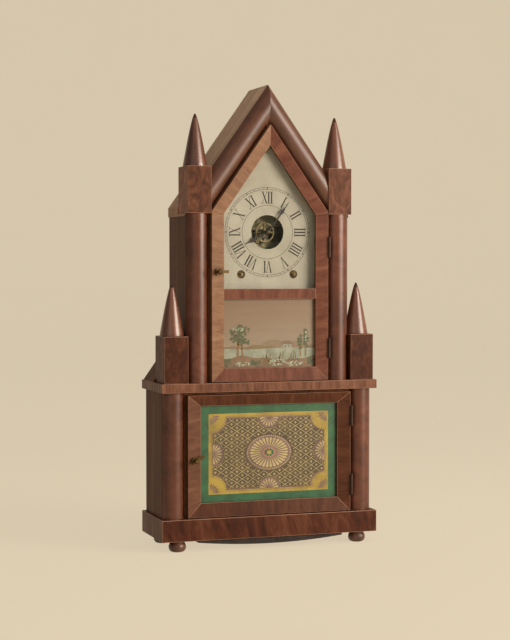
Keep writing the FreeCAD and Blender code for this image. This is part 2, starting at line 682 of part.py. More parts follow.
def buildUpperDoor():
    low = ledgeTop + s.doorGap
    outer = s.upperDoorHalf
    inner = outer - s.upperDoorStile
    innerApex = doorApex - s.upperDoorRake * rakeScale
    shoulder = doorShoulder
    innerShoulder = innerApex - slope * inner
    railTop = low + s.upperBottomRail
    midTop = midRailTop

    def dialOutline(margin):
        half = inner + margin
        apex = innerApex + margin * rakeScale
        return [(-half, midTop - margin), (half, midTop - margin), (half, apex - slope * half),
                (zero, apex), (-half, apex - slope * half)]

    def pictureBox(name, margin, near, far):
        return box(name, (-(inner + margin), inner + margin), (near, far),
                   (railTop - margin, midRailHeight + margin))

    dialRebate = prism("dialRebate", dialOutline(s.paneLap), paneFront, doorBack + s.overrun)
    pictureRebate = pictureBox("pictureRebate", s.paneLap, paneFront, doorBack + s.overrun)
    rebate = fused("upperRebate", dialRebate, pictureRebate)
    stile = [(outer, low), (outer, shoulder), (inner, innerShoulder), (inner, railTop)]
    rake = [(zero, doorApex), (outer, shoulder), (inner, innerShoulder), (zero, innerApex)]
    rail = [(-outer, low), (outer, low), (inner, railTop), (-inner, railTop)]
    hole = rod("upperLatchHole", (latchPlaceUpper, doorFront - s.overrun, upperLatchHeight),
               s.latchShaft + s.runGap, s.doorThick + 2 * s.overrun)
    right = prism("upperStileRight", stile, doorFront, doorBack)
    rightRake = prism("upperRakeRight", rake, doorFront, doorBack)
    members = [
        cut("doorStileRight", right, rebate),
        cut("doorStileLeft", mirror("upperStileLeftPlain", right), rebate, hole),
        cut("doorRakeRight", rightRake, rebate),
        cut("doorRakeLeft", mirror("upperRakeLeftPlain", rightRake), rebate),
        cut("doorBottomRail", prism("upperBottomPlain", rail, doorFront, doorBack), rebate),
        cut("doorMiddleRail", box("upperMiddlePlain", (-inner, inner), (doorFront, doorBack),
                                  (midRailHeight, midTop)), rebate),
    ]
    group("upper_door_frame", *members)
    reach = s.paneLap - s.paneGap
    keep("dial_glass", prism("dial_glass", dialOutline(reach), paneFront, paneBack))
    keep("picture_tablet", pictureBox("picture_tablet", reach, paneFront, paneBack))


def buildLowerDoor():
    low = plinthTop + s.doorGap
    high = ledgeHeight - s.lowerDoorTopGap
    outer = lowerDoorHalf
    inner = outer - s.lowerDoorStile
    railTop = low + s.lowerBottomRail
    railFoot = high - s.lowerTopRail

    def opening(name, margin, far):
        return box(name, (-(inner + margin), inner + margin), (paneFront, far),
                   (railTop - margin, railFoot + margin))

    rebate = opening("lowerRebate", s.paneLap, doorBack + s.overrun)
    stile = [(outer, low), (outer, high), (inner, railFoot), (inner, railTop)]
    top = [(-inner, railFoot), (inner, railFoot), (outer, high), (-outer, high)]
    bottom = [(-outer, low), (outer, low), (inner, railTop), (-inner, railTop)]
    hole = rod("lowerLatchHole", (latchPlaceLower, doorFront - s.overrun, lowerLatchHeight),
               s.latchShaft + s.runGap, s.doorThick + 2 * s.overrun)
    right = prism("lowerStileRight", stile, doorFront, doorBack)
    members = [
        cut("lowerDoorRight", right, rebate),
        cut("lowerDoorLeft", mirror("lowerStileLeftPlain", right), rebate, hole),
        cut("lowerDoorTopRail", prism("lowerTopPlain", top, doorFront, doorBack), rebate),
        cut("lowerDoorBottomRail", prism("lowerBottomPlain", bottom, doorFront, doorBack), rebate),
    ]
    group("lower_door_frame", *members)
    keep("lower_tablet", opening("lower_tablet", s.paneLap - s.paneGap, paneFront + s.paneThick))


def buildHinges():
    # Butt hinges: the middle knuckle turns with the door, the two others stay.
    axisY = doorFront - s.hingeProud
    length = s.knuckleLength
    caseLeaves = []
    pins = []
    sets = (("upper", s.upperDoorHalf, (ledgeTop + s.upperHingeInset,
                                        upperBlockHeight - s.upperHingeInset)),
            ("lower", lowerDoorHalf, (plinthTop + s.lowerHingeInset,
                                      ledgeHeight - s.lowerHingeInset)))
    for door, edge, heights in sets:
        axisX = edge + s.hingeOffset
        doorLeaves = []
        for count, height in enumerate(heights):
            name = f"{door}Hinge{count}"
            low = height - length * hingeKnuckles / 2
            barrels = []
            for number in (0, 2):
                barrels.append(rod(f"{name}Barrel{number}", (axisX, axisY, low + length * number),
                                   s.knuckleRadius, length, "z"))
                barrels.append(box(f"{name}Wing{number}", (axisX, axisX + s.leafThick),
                                   (axisY, caseFront), (low + length * number,
                                                        low + length * (number + 1))))
            clear = axisY + s.knuckleRadius + s.seatGap
            plate = box(name + "Plate", (axisX, axisX + s.leafThick), (clear, caseFront),
                        (low, low + length * hingeKnuckles))
            bore = rod(name + "Bore", (axisX, axisY, low - s.overrun), s.pinRadius,
                       length * hingeKnuckles + 2 * s.overrun, "z")
            caseLeaves.append(cut(name + "Case", fused(name + "CaseSolid", plate, *barrels), bore))
            pins.append(rod(name + "Pin", (axisX, axisY, low - s.pinHead), s.pinRadius,
                            length * hingeKnuckles + 2 * s.pinHead, "z"))
            doorLow = low + length + s.knuckleGap
            doorHigh = low + 2 * length - s.knuckleGap
            barrel = rod(name + "DoorBarrel", (axisX, axisY, doorLow), s.knuckleRadius,
                         doorHigh - doorLow, "z")
            leaf = box(name + "DoorLeaf", (edge, edge + s.leafThick), (axisY, doorBack - s.doorGap),
                       (doorLow, doorHigh))
            running = rod(name + "DoorBore", (axisX, axisY, doorLow - s.overrun),
                          s.pinRadius + s.runGap, length + 2 * s.overrun, "z")
            doorLeaves.append(cut(name + "Door", fused(name + "DoorSolid", barrel, leaf), running))
        group(door + "_door_leaves", *doorLeaves)
    group("case_hinge_leaves", *caseLeaves)
    group("hinge_pins", *pins)


def buildLatch(name, across, height, tilt):
    # One turned knob, its bar in front of the door and its tongue behind it. The tongue
    # hangs a quarter turn below the bar, free of the stile, so the door is unlatched.
    near = doorFront - s.latchStand
    collarFront = doorFront - s.latchCollarThick
    tongue = caseFront + s.stileThick + s.latchBack
    shape = [(zero, zero)]
    shape += [(s.latchKnobRadius * wide, s.latchStand * deep) for wide, deep in knobShares]
    knob = turned(name + "Knob", shape + [
        (s.latchShaft, s.latchStand - s.latchCollarThick),
        (s.latchCollar, s.latchStand - s.latchCollarThick),
        (s.latchCollar, s.latchStand),
        (zero, s.latchStand),
    ], (zero, near, zero), "y")
    shaft = rod(name + "Shaft", (zero, doorFront, zero), s.latchShaft,
                tongue + s.latchBarThick - doorFront)
    half = s.latchBarWidth / 2
    bar = box(name + "Bar", (zero, s.latchBar), (collarFront - s.latchBarThick, collarFront),
              (-half, half))
    inner = box(name + "Tongue", (-half, half), (tongue, tongue + s.latchBarThick),
                (-s.latchBar, zero))
    latch = fused(name, knob, shaft, bar, inner)
    return keep(name, place(latch, (across, zero, height), (0, -1, 0), tilt))


def buildDial():
    near = front + s.dialSetback
    far = near + s.dialThick
    half = dialHalf
    foot = midRailTop - s.dialLap
    peak = frameApex - s.dialPeakGap * rakeScale
    outline = [(-half, foot), (half, foot), (half, peak - slope * half),
               (zero, peak), (-half, peak - slope * half)]
    plate = prism("dialPlain", outline, near, far)
    deep = s.dialThick + 2 * s.overrun
    holes = [rod("dialHoleTool", (zero, near - s.overrun, dialHeight), s.dialHole, deep)]
    for name, across in (("windHoleRight", s.arborSpread), ("windHoleLeft", -s.arborSpread)):
        holes.append(rod(name, (across, near - s.overrun, arborHeight), s.collarHole, deep))
    keep("dial_plate", cut("dial_plate", plate, *holes))
    low = upperLatchHeight + s.dialRailRise
    pair("dial_rails", box("dialRail", (half - s.dialRailLap, upperStileEdge),
                           (far, far + s.dialRailThick), (low, low + s.dialRailLength)))


def buildHand(name, length, near, bore, angle):
    half = s.handWidth / 2
    tip = s.handTip / 2
    waist, up = half * handWaistShares[0], length * handWaistShares[1]
    blade = prism(name + "Blade", [
        (-tip, -s.handTail), (tip, -s.handTail), (half, zero), (waist, up),
        (tip, length), (-tip, length), (-waist, up), (-half, zero),
    ], near, near + s.handThick)
    boss = rod(name + "Boss", (zero, near, zero), s.handBoss, s.handThick)
    hole = rod(name + "Hole", (zero, near - s.overrun, zero), bore, s.handThick + 2 * s.overrun)
    hand = cut(name, fused(name + "Solid", blade, boss), hole)
    return keep(name, place(hand, (zero, zero, dialHeight), (0, 1, 0), angle))


def along(radius, thick, start):
    # A disc about the Y axis, from start.
    return Part.makeCylinder(radius, thick, FreeCAD.Vector(0, start, 0), FreeCAD.Vector(0, 1, 0))


def toothed(teeth, module, thick, start, gapAngle, hub, openArms=True):
    # A wheel about Y whose teeth leave a gap at gapAngle, from +X towards +Z.
    pitch = teeth * module / 2
    tip = pitch + toothRiseShare * module
    foot = pitch - toothRootShare * module
    step = 2 * math.pi / teeth
    halves = (toothThickShare * step * toothFootShare, toothTipShare * step / 2)
    middle = math.radians(gapAngle) + step / 2
    corners = []
    for number in range(teeth):
        centre = middle + number * step
        for radius, offset in ((foot, -halves[0]), (tip, -halves[1]),
                               (tip, halves[1]), (foot, halves[0])):
            turn = centre + offset
            corners.append(FreeCAD.Vector(radius * math.cos(turn), start, radius * math.sin(turn)))
    face = Part.Face(Part.makePolygon(corners + corners[:1]))
    wheel = face.extrude(FreeCAD.Vector(0, thick, 0))
    rim = pitch * wheelRimShare
    if openArms and rim > hub * 2:
        window = along(rim, thick, start).cut(along(max(pitch * wheelHubShare, hub), thick, start))
        for number in range(wheelArms // 2):
            arm = pitch * wheelArmShare
            bar = Part.makeBox(2 * pitch, thick, 2 * arm, FreeCAD.Vector(-pitch, start, -arm))
            bar.rotate(FreeCAD.Vector(), FreeCAD.Vector(0, 1, 0), 180.0 * number / (wheelArms / 2))
            window = window.cut(bar)
        wheel = wheel.cut(window)
    return wheel


def lantern(leaves, module, start, thick, pinAngle):
    # A lantern pinion about Y with one pin at pinAngle, open between its end discs.
    pitch = leaves * module / 2
    pin = trundleShare * module
    cap = s.shroudThick.value
    solids = [along(pitch + 2 * pin, cap, start - cap), along(pitch + 2 * pin, cap, start + thick)]
    for number in range(leaves):
        turn = math.radians(pinAngle) + 2 * math.pi * number / leaves
        centre = FreeCAD.Vector(pitch * math.cos(turn), start - cap / 2, pitch * math.sin(turn))
        solids.append(Part.makeCylinder(pin, thick + cap, centre, FreeCAD.Vector(0, 1, 0)))
    return solids


def bearing(start, end):
    return math.degrees(math.atan2(end[1] - start[1], end[0] - start[0]))


def buildMovement():
    # Arbor places are (across, up); layers are distances behind the front plate.
    axis = trainPlaces()
    thick = s.wheelThick.value
    gap = s.wheelGap.value
    room = s.plateSpace.value
    arbor = s.arborRadius.value
    pivots = s.plateThick.value
    origin = trainFront.value

    def shaft(radius=arbor, near=-pivots, far=room + pivots):
        return along(radius, far - near, near)

    def spot(name):
        return (axis[name][0], origin, axis[name][1])

    layer = {name: thick * number for name, number in trainLayers.items()}

    def driven(name, module, driver):
        # The lantern pinion that a wheel in another layer turns.
        start = layer[driver] - gap
        return lantern(pinionLeaves, module, start, thick + 2 * gap, bearing(axis[name],
                                                                             axis[driver]))

    def wheel(name, teeth, module, follower, hub=arbor):
        return toothed(teeth, module, thick, layer[name], bearing(axis[name], axis[follower]),
                       hub)

    drive = s.driveModule.value
    wind = s.windRadius.value
    for side, great, second in (("time", "great", "second"), ("strike", "great2", "pinWheel2")):
        sign = 1 if side == "time" else -1
        hubDisc = along(wind + thick, thick, layer["great"])
        greatSpot = spot(great)
        body = toothed(greatTeeth, drive, thick, layer["great"],
                       bearing(axis[great], axis[second]), wind + thick)
        bore = along(wind + s.runGap.value, thick * 3, layer["great"] - thick)
        made(side + "_great_wheel", [body.fuse(hubDisc).cut(bore)], greatSpot)
        drumStart = drumFront.value - origin
        flange = s.drumFlangeThick.value
        square = s.windSquare.value
        squareFar = -(origin - (front + s.windSetback).value)
        solids = [
            shaft(wind, squareFar + s.windSquareLength.value, room + pivots),
            Part.makeBox(square, s.windSquareLength.value, square,
                         FreeCAD.Vector(-square / 2, squareFar, -square / 2)),
            along(s.drumRadius.value, s.drumLength.value, drumStart),
            along(s.drumFlange.value, flange, drumStart),
            along(s.drumFlange.value, flange, drumStart + s.drumLength.value - flange),
        ]
        made(side + "_drum", solids, greatSpot)
    made("second_wheel", [shaft(), wheel("second", greatTeeth, drive, "centre")]
         + driven("second", drive, "great"), spot("second"))
    # the centre arbor carries the centre wheel, its pinion and the cannon pinion
    cannonNear = (front + s.cannonSetback).value - origin
    handNear = minuteHandFront.value - origin - s.handThick.value / 2
    toMinute = minuteWheelAngle
    centreSolids = [
        shaft(arbor, handNear, room + pivots),
        wheel("centre", centreTeeth, s.centreModule.value, "third"),
        toothed(cannonTeeth, s.cannonModule.value, s.cannonLength.value, cannonNear, toMinute,
                arbor, False),
    ] + driven("centre", drive, "second")
    made("centre_arbor", centreSolids, spot("centre"))
    made("third_wheel", [shaft(), wheel("third", thirdTeeth, s.thirdModule.value, "escape")]
         + driven("third", s.centreModule.value, "centre"), spot("third"))
    buildEscapement(axis, layer, shaft, spot, driven)
    pinWheel = toothed(greatTeeth, drive, thick, layer["pinWheel"],
                       bearing(axis["pinWheel2"], axis["fly"]), arbor)
    pins = []
    for number in range(pinionLeaves):
        turn = 2 * math.pi * number / pinionLeaves
        ring = greatTeeth * drive / 2 * strikeRingShare
        centre = FreeCAD.Vector(ring * math.cos(turn), layer["pinWheel"] + thick / 2,
                                ring * math.sin(turn))
        pins.append(Part.makeCylinder(s.strikePinRadius.value, s.strikePinLength.value + thick / 2,
                                      centre, FreeCAD.Vector(0, 1, 0)))
    start = layer["great"] - gap
    made("strike_pin_wheel", [shaft(), pinWheel] + pins
         + lantern(pinionLeaves, drive, start, thick + 2 * gap,
                   bearing(axis["pinWheel2"], axis["great2"])), spot("pinWheel2"))
    vane = s.flyThick.value
    reach = s.flyRadius.value
    fan = Part.makeBox(2 * reach, s.flyLength.value, vane,
                       FreeCAD.Vector(-reach, layer["great"] + thick * 2, -vane / 2))
    start = layer["pinWheel"] - gap
    made("strike_fly", [shaft(), fan] + lantern(pinionLeaves, drive, start, thick + 2 * gap,
                                                bearing(axis["fly"], axis["pinWheel2"])),
         spot("fly"))
    buildMotionWork(axis, origin)
    buildPlates(axis)


def trainPlaces():
    # Each arbor is set by the pitch circles that meet on it.
    drive = s.driveModule.value * (greatTeeth + pinionLeaves) / 2
    centre = (0.0, dialHeight.value)
    great = (s.arborSpread.value, arborHeight.value)
    escape = (0.0, centre[1] + s.escapeDrop.value)
    second = crossing(great, drive, centre, drive)
    toThird = s.centreModule.value * (centreTeeth + pinionLeaves) / 2
    toEscape = s.thirdModule.value * (thirdTeeth + pinionLeaves) / 2
    third = crossing(centre, toThird, escape, toEscape)
    turn = math.radians(s.flyAngle.value)
    pinWheel = (-second[0], second[1])
    fly = (pinWheel[0] + drive * math.cos(turn), pinWheel[1] + drive * math.sin(turn))
    motion = s.cannonModule.value * (cannonTeeth + minuteTeeth) / 2
    turn = math.radians(minuteWheelAngle)
    minute = (motion * math.cos(turn), centre[1] + motion * math.sin(turn))
    return {"centre": centre, "great": great, "great2": (-great[0], great[1]), "second": second,
            "pinWheel2": pinWheel, "third": third, "escape": escape, "fly": fly,
            "verge": (0.0, escape[1] + s.vergeRise.value), "minute": minute,
            "hammer": (-hammerPlace.value, great[1] - s.hammerFall.value)}


def crossing(first, firstReach, second, secondReach):
    # The point at both reaches that lies to the right.
    across = second[0] - first[0]
    up = second[1] - first[1]
    apart = math.hypot(across, up)
    share = (firstReach ** 2 - secondReach ** 2 + apart ** 2) / (2 * apart ** 2)
    side = math.sqrt(firstReach ** 2 - (share * apart) ** 2) / apart
    options = [(first[0] + share * across + sign * side * up,
                first[1] + share * up - sign * side * across) for sign in (1, -1)]
    return max(options)


def buildEscapement(axis, layer, shaft, spot, driven):
    thick = s.escapeThick.value
    tip = s.escapeRadius.value
    step = 2 * math.pi / escapeTeeth
    corners = []
    for number in range(escapeTeeth):
        turn = number * step
        corners.append(FreeCAD.Vector(tip * math.cos(turn), layer["escape"], tip * math.sin(turn)))
        low = tip * (1 - escapeDeepShare)
        for shift in escapeTipShares:
            corners.append(FreeCAD.Vector(low * math.cos(turn + shift * step), layer["escape"],
                                          low * math.sin(turn + shift * step)))
    wheel = Part.Face(Part.makePolygon(corners + corners[:1])).extrude(FreeCAD.Vector(0, thick, 0))
    made("escape_wheel", [shaft(), wheel] + driven("escape", s.thirdModule.value, "third"),
         spot("escape"))
    # the verge: a bent strip with a pallet at each end, and the crutch behind the plate
    reach = s.vergeReach.value
    band = s.vergeBand.value
    clear = tip + s.palletGap.value
    pallet = -s.vergeRise.value + math.sqrt(clear ** 2 - (reach - band) ** 2)
    shoulder = reach - band * vergeShares["shoulder"]
    strip = [(-reach, pallet), (-reach + band, pallet), (-shoulder, -band),
             (0, band * vergeShares["belly"]), (shoulder, -band), (reach - band, pallet),
             (reach, pallet), (reach, -band), (0, band * vergeShares["crown"]), (-reach, -band)]
    points = [FreeCAD.Vector(across, layer["escape"], up) for across, up in strip]
    verge = Part.Face(Part.makePolygon(points + points[:1])).extrude(FreeCAD.Vector(0, thick, 0))
    crutchNear = (front + s.crutchSetback - trainFront).value
    wire = s.crutchWire.value
    rodNear = (front + s.pendulumSetback - trainFront).value
    drop = s.crutchLength.value
    solids = [along(band * vergeShares["hub"], thick, layer["escape"]), verge,
              shaft(s.arborRadius.value, -s.plateThick.value, crutchNear + wire * 2)]
    apart = s.rodRadius.value + s.crutchGap.value
    solids.append(Part.makeBox(2 * wire, 2 * wire, drop, FreeCAD.Vector(-wire, crutchNear - wire,
                                                                        -drop)))
    solids.append(Part.makeBox(2 * apart + 4 * wire, 2 * wire, 2 * wire, FreeCAD.Vector(
        -apart - 2 * wire, crutchNear - wire, -drop)))
    for start in (-apart - 2 * wire, apart):
        solids.append(Part.makeBox(2 * wire, rodNear - crutchNear + 3 * wire, 2 * wire,
                                   FreeCAD.Vector(start, crutchNear - wire, -drop)))
    made("verge", solids, spot("verge"))


def buildMotionWork(axis, origin):
    # Twelve to one: cannon pinion to minute wheel, its pinion to the hour wheel.
    far = s.cannonLength.value
    cannonNear = (front + s.cannonSetback).value
    hourNear = (front + s.hourWheelSetback).value
    thick = s.wheelThick.value
    base = (axis["minute"][0], 0, axis["minute"][1])
    toCentre = minuteWheelAngle + 180
    stud = s.studRadius.value
    boreSize = stud + s.runGap.value
    wheelNear = cannonNear + (far - thick) / 2
    room = s.plateSpace.value
    pinion = toothed(minuteLeaves, s.hourModule.value, wheelNear - hourNear + thick / 2,
                     hourNear - thick / 2, toCentre, stud, False)
    # a tooth of the wheel lies in a gap of the cannon pinion
    wheel = toothed(minuteTeeth, s.cannonModule.value, thick, wheelNear,
                    toCentre + 180.0 / minuteTeeth, stud * 2)
    bore = along(boreSize, room, hourNear - thick * 3)
    made("minute_wheel", [wheel.fuse(pinion).cut(bore)], base)
    pipe = s.hourPipeRadius.value
    pipeNear = hourHandFront.value + s.handThick.value / 2
    hour = toothed(hourTeeth, s.hourModule.value, thick, hourNear,
                   minuteWheelAngle + 180.0 / hourTeeth, pipe * pipeHubShare)
    tube = along(pipe, hourNear + thick - pipeNear, pipeNear)
    inside = along(s.arborRadius.value + s.runGap.value, room, pipeNear - thick)
    made("hour_wheel", [hour.fuse(tube).cut(inside)], (0, 0, dialHeight))


def buildPlates(axis):
    low = arborHeight - s.plateDrop
    high = pendulumPivot + s.plateRise
    plates = []
    for name, near in (("plateFront", frontPlate), ("plateBack", backPlate)):
        plain = box(name + "Plain", (-plateHalf, plateHalf), (near, near + s.plateThick),
                    (low, high))
        holes = []
        for arbor, (across, up) in axis.items():
            if arbor == "minute":
                continue
            radius = s.windRadius if arbor.startswith("great") else s.arborRadius
            hole = Part.makeCylinder((radius + s.runGap).value, (s.plateThick + 2 * s.overrun).value,
                                     FreeCAD.Vector(across, (near - s.overrun).value, up),
                                     FreeCAD.Vector(0, 1, 0))
            holes.append(hole)
        tool = doc.addObject("Part::Feature", name + "Holes")
        tool.Shape = Part.makeCompound(holes)
        plates.append(cut(name, plain, tool))
    group("movement_plates", *plates)
    inset = s.pillarInset
    pillars = []
    across = plateHalf - inset
    for name, up in (("Low", low + inset), ("High", high - inset)):
        for part, near, far in (("pillar", trainFront, backPlate), ("post", plateBack, boardFront)):
            one = rod(part + name, (across, near, up), s.pillarRadius, far - near)
            pillars += [one, mirror(part + name + "Left", one)]
    stud = doc.addObject("Part::Feature", "minuteStud")
    studNear = (front + s.hourWheelSetback - s.wheelThick).value
    stud.Shape = Part.makeCylinder(s.studRadius.value, frontPlate.value - studNear,
                                   FreeCAD.Vector(axis["minute"][0], studNear, axis["minute"][1]),
                                   FreeCAD.Vector(0, 1, 0))
    group("movement_pillars", stud, *pillars)


def buildPendulum():
    pivot = pendulumPivot
    depth = front + s.pendulumSetback
    foot = ledgeTop + s.pendulumClear
    bobHeight = foot + s.bobNutLength + s.bobRadius
    top = pivot + s.arborRadius
    keep("pendulum_rod", rod("pendulum_rod", (zero, depth, foot), s.rodRadius, top - foot, "z"))
    face = s.bobRadius * bobFaceShare
    bob = turned("bobPlain", [
        (zero, zero), (face, zero), (s.bobRadius, (s.bobThick - s.bobRim) / 2),
        (s.bobRadius, (s.bobThick + s.bobRim) / 2), (face, s.bobThick),
        (zero, s.bobThick),
    ], (zero, depth - s.bobThick / 2, bobHeight), "y")
    way = rod("bobWay", (zero, depth, foot), s.rodRadius, s.bobRadius * 3, "z")
    nut = rod("nutPlain", (zero, depth, foot + s.cockGap), s.bobNut, s.bobNutLength - s.cockGap, "z")
    group("pendulum_bob", cut("bob", bob, way), cut("ratingNut", nut, way))
    half = s.cockWidth / 2
    low = top + s.cockGap
    keep("suspension_cock", box("suspension_cock", (-half, half), (plateBack, depth + s.bobRim),
                                (low, low + s.cockHeight)))


def buildStrikeWork():
    # a flat spiral of half turns, bent from one wire, on its block on the back board
    gongHeight = arborHeight - s.gongDrop
    step = s.gongStep.value / 2
    radius = s.gongStart.value
    wire = s.gongWire.value
    far = s.gongGap.value
    edges = []
    left = -radius
    sign = 1
    for number in range(gongTurns * 2):
        right = left + 2 * radius * sign
        middle = (left + right) / 2
        edges.append(Part.Arc(FreeCAD.Vector(left, 0, 0), FreeCAD.Vector(middle, 0, radius * sign),
                              FreeCAD.Vector(right, 0, 0)).toShape())
        left = right
        radius += step
        sign = -sign
    path = Part.Wire(edges)
    ring = Part.Wire([Part.Circle(FreeCAD.Vector(-s.gongStart.value, 0, 0),
                                  FreeCAD.Vector(0, 0, 1), wire).toShape()])
    coil = path.makePipeShell([ring], True, False)
    gong = doc.addObject("Part::Feature", "gongCoil")
    gong.Shape = coil
    gong.Placement = FreeCAD.Placement(FreeCAD.Vector(
        -gongPlace.value, (boardFront - s.gongGap).value, gongHeight.value), FreeCAD.Rotation())
    size = s.gongBaseSize / 2
    across = -gongPlace - s.gongStart
    group("strike_gong", gong, box("gongBlock", (across - size, across + size),
                                   (boardFront - s.gongGap + s.gongWire, boardFront),
                                   (gongHeight - size, gongHeight + size)))
    drop = s.hammerDrop.value
    wireRadius = s.hammerWire.value
    near = s.plateThick.value
    behind = (front + s.hammerSetback - trainFront).value
    head = s.hammerHead.value
    lean = (gongPlace - hammerPlace).value
    reach = (s.gongStart + s.gongStep * gongTurns).value
    tip = FreeCAD.Vector(-lean + reach + head * hammerGapShare, behind, -drop)
    solids = [
        along(s.arborRadius.value, behind + near + wireRadius, -near),
        Part.makeCylinder(wireRadius, tip.sub(FreeCAD.Vector(0, behind, 0)).Length,
                          FreeCAD.Vector(0, behind, 0), tip.sub(FreeCAD.Vector(0, behind, 0))),
        Part.makeCylinder(head, head * 2, tip.sub(FreeCAD.Vector(head, 0, 0)),
                          FreeCAD.Vector(1, 0, 0)),
    ]
    made("hammer", solids, (-hammerPlace, trainFront, arborHeight - s.hammerFall))


def leaf(name, half, ys, centre, radius, thick, zs):
    # A strip bent round a centre above it, cut off at half on each side.
    outer = rod(name + "Outer", (zero, ys[0], centre), radius + thick, ys[1] - ys[0])
    inner = rod(name + "Inner", (zero, ys[0] - s.overrun, centre), radius,
                ys[1] - ys[0] + 2 * s.overrun)
    window = box(name + "Window", (-half, half), ys, zs)
    return common(name, cut(name + "Ring", outer, inner), window)


def buildSprings():
    middle = cordPlace
    span = (middle - s.leafWidth / 2, middle + s.leafWidth / 2)
    count = len(leafLengthShares)
    pack = (s.leafDepth + s.leafGap) * count
    under = plinthTop + s.saddleHeight
    top = under + pack
    leaves = []
    radius = bend(leafHalf, s.leafSag)
    for number, share in enumerate(leafLengthShares):
        down = (s.leafDepth + s.leafGap) * number
        leaves.append(leaf(f"springLeaf{number}", leafHalf * share, span, top + radius,
                           radius + down, s.leafDepth,
                           (under - s.overrun, top + s.leafSag * 2)))
    group("spring_leaves", *leaves)
    half = s.saddleHalf
    wide = (middle - s.saddleDepth / 2, middle + s.saddleDepth / 2)
    clampLow = top + s.seatGap
    saddle = box("saddlePlain", (-half, half), wide, (plinthTop, under))
    clamp = box("clampPlain", (-half, half), wide, (clampLow, clampLow + s.clampThick))
    bolts = []
    for name, depth in (("boltNear", wide[0] + s.boltInset), ("boltFar", wide[1] - s.boltInset)):
        bolts.append(rod(name, (zero, depth, plinthTop), s.boltRadius,
                         clampLow + s.clampThick - plinthTop + s.boltRadius, "z"))
    group("spring_clamp", cut("springSaddle", saddle, *bolts),
          cut("clampPlate", clamp, *bolts), *bolts)
    bowHalf = halfPlinth - s.footInset - s.footRadius - s.bowInset
    bowTop = s.footHeight - s.bowSag
    low = bowTop - s.bowThick
    near = front + s.bowSetback
    radius = bend(bowHalf, s.bowSag)
    bow = leaf("bowPlain", bowHalf, (near, near + s.bowWidth), bowTop + radius, radius, s.bowThick,
               (low, s.footHeight + s.bowSag))
    bolt = rod("bowBolt", (zero, near + s.bowWidth / 2, low), s.bowBolt,
               s.footHeight - low, "z")
    group("spring_bow", cut("bow", bow, bolt), bolt)
    buildLevers(middle, top)


def buildLevers(middle, leafTop):
    # Each lever turns on a pin in its bracket, hooks under the main leaf and pulls a cord.
    pivot = leverPivot
    leafEnd = leafTop + s.leafSag
    height = leafEnd + s.leverRise
    cordX = cordAcross
    near = middle - s.leverThick / 2
    far = middle + s.leverThick / 2
    end = cordX - s.leverEye
    half = s.leverBand / 2
    bar = box("leverBar", (end, pivot + s.leverBand), (near, far), (height - half, height + half))
    # the hook stands off the leaf's end and its toe lies just under the leaf
    radius = bend(leafHalf, s.leafSag)
    under = radius + s.leafDepth
    toeX = leafHalf - s.hookReach
    toeTop = leafTop + radius - root(under * under - toeX * toeX) - s.seatGap
    shankX = leafHalf + s.seatGap
    shank = box("leverShank", (shankX, shankX + s.hookThick), (near, far),
                (toeTop - s.hookThick, height))
    toe = box("leverToe", (toeX, shankX + s.hookThick), (near, far),
              (toeTop - s.hookThick, toeTop))
    hole = rod("leverHole", (pivot, near - s.overrun, height), s.leverPinRadius + s.runGap,
               s.leverThick + 2 * s.overrun)
    lever = cut("time_lever", fused("leverSolid", bar, shank, toe), hole)
    keep("time_lever", lever)
    keep("strike_lever", mirror("strike_lever", lever))
    inside = halfLower - s.sideThick
    pin = rod("leverPin", (pivot, near - s.bracketGap - s.bracketThick, height), s.leverPinRadius,
              s.leverThick + 2 * s.bracketGap + 2 * s.bracketThick)
    cheeks = []
    for name, low in (("cheekNear", near - s.bracketGap - s.bracketThick),
                      ("cheekFar", far + s.bracketGap)):
        cheeks.append(box(name, (pivot - s.bracketHalf, pivot + s.bracketHalf),
                          (low, low + s.bracketThick), (plinthTop, height + s.bracketHalf)))
    foot = box("bracketFoot", (pivot - s.bracketHalf, inside),
               (near - s.bracketGap - s.bracketThick, far + s.bracketGap + s.bracketThick),
               (plinthTop, plinthTop + s.bracketThick))
    bracket = cut("leverBracket", fused("bracketSolid", foot, *cheeks), pin)
    group("lever_brackets", bracket, mirror("leverBracketLeft", bracket), pin,
          mirror("leverPinLeft", pin))
    low = height + half + s.cordGap
    pair("drive_cords", rod("driveCord", (cordX, middle, low), s.cordRadius,
                            arborHeight - low, "z"))


buildPlinth()
buildLowerCase()
buildUpperCase()
buildMouldings()
buildUpperDoor()
buildLowerDoor()
buildHinges()
buildLatch("upper_latch", latchPlaceUpper, upperLatchHeight, 0)
buildLatch("lower_latch", latchPlaceLower, lowerLatchHeight, s.lowerLatchTilt)
buildDial()
buildHand("minute_hand", s.minuteHandLength, minuteHandFront, s.arborRadius, s.minuteAngle)
buildHand("hour_hand", s.hourHandLength, hourHandFront, s.hourPipeRadius, s.hourAngle)
buildMovement()
buildPendulum()
buildStrikeWork()
buildSprings()
doc.recompute()

for item in doc.Objects:
    if "Invalid" in item.State or "Error" in item.State:
        raise RuntimeError(f"{item.Label} failed: {item.State}")
os.makedirs("parts", exist_ok=True)
for item in nodes:
    shape = item.Shape
    if shape.isNull() or not shape.isValid() or not shape.Solids:
        raise RuntimeError(f"{item.Label} has no valid solid")
    shape.exportStep(f"parts/{item.Label}.step")
    size = shape.BoundBox
    print(f"{item.Label:20s} {len(shape.Solids):2d} solids, "
          f"x {size.XMin:.1f} {size.XMax:.1f}, y {size.YMin:.1f} {size.YMax:.1f}, "
          f"z {size.ZMin:.1f} {size.ZMax:.1f}")
print(len(nodes), "nodes")
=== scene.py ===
import math
import random

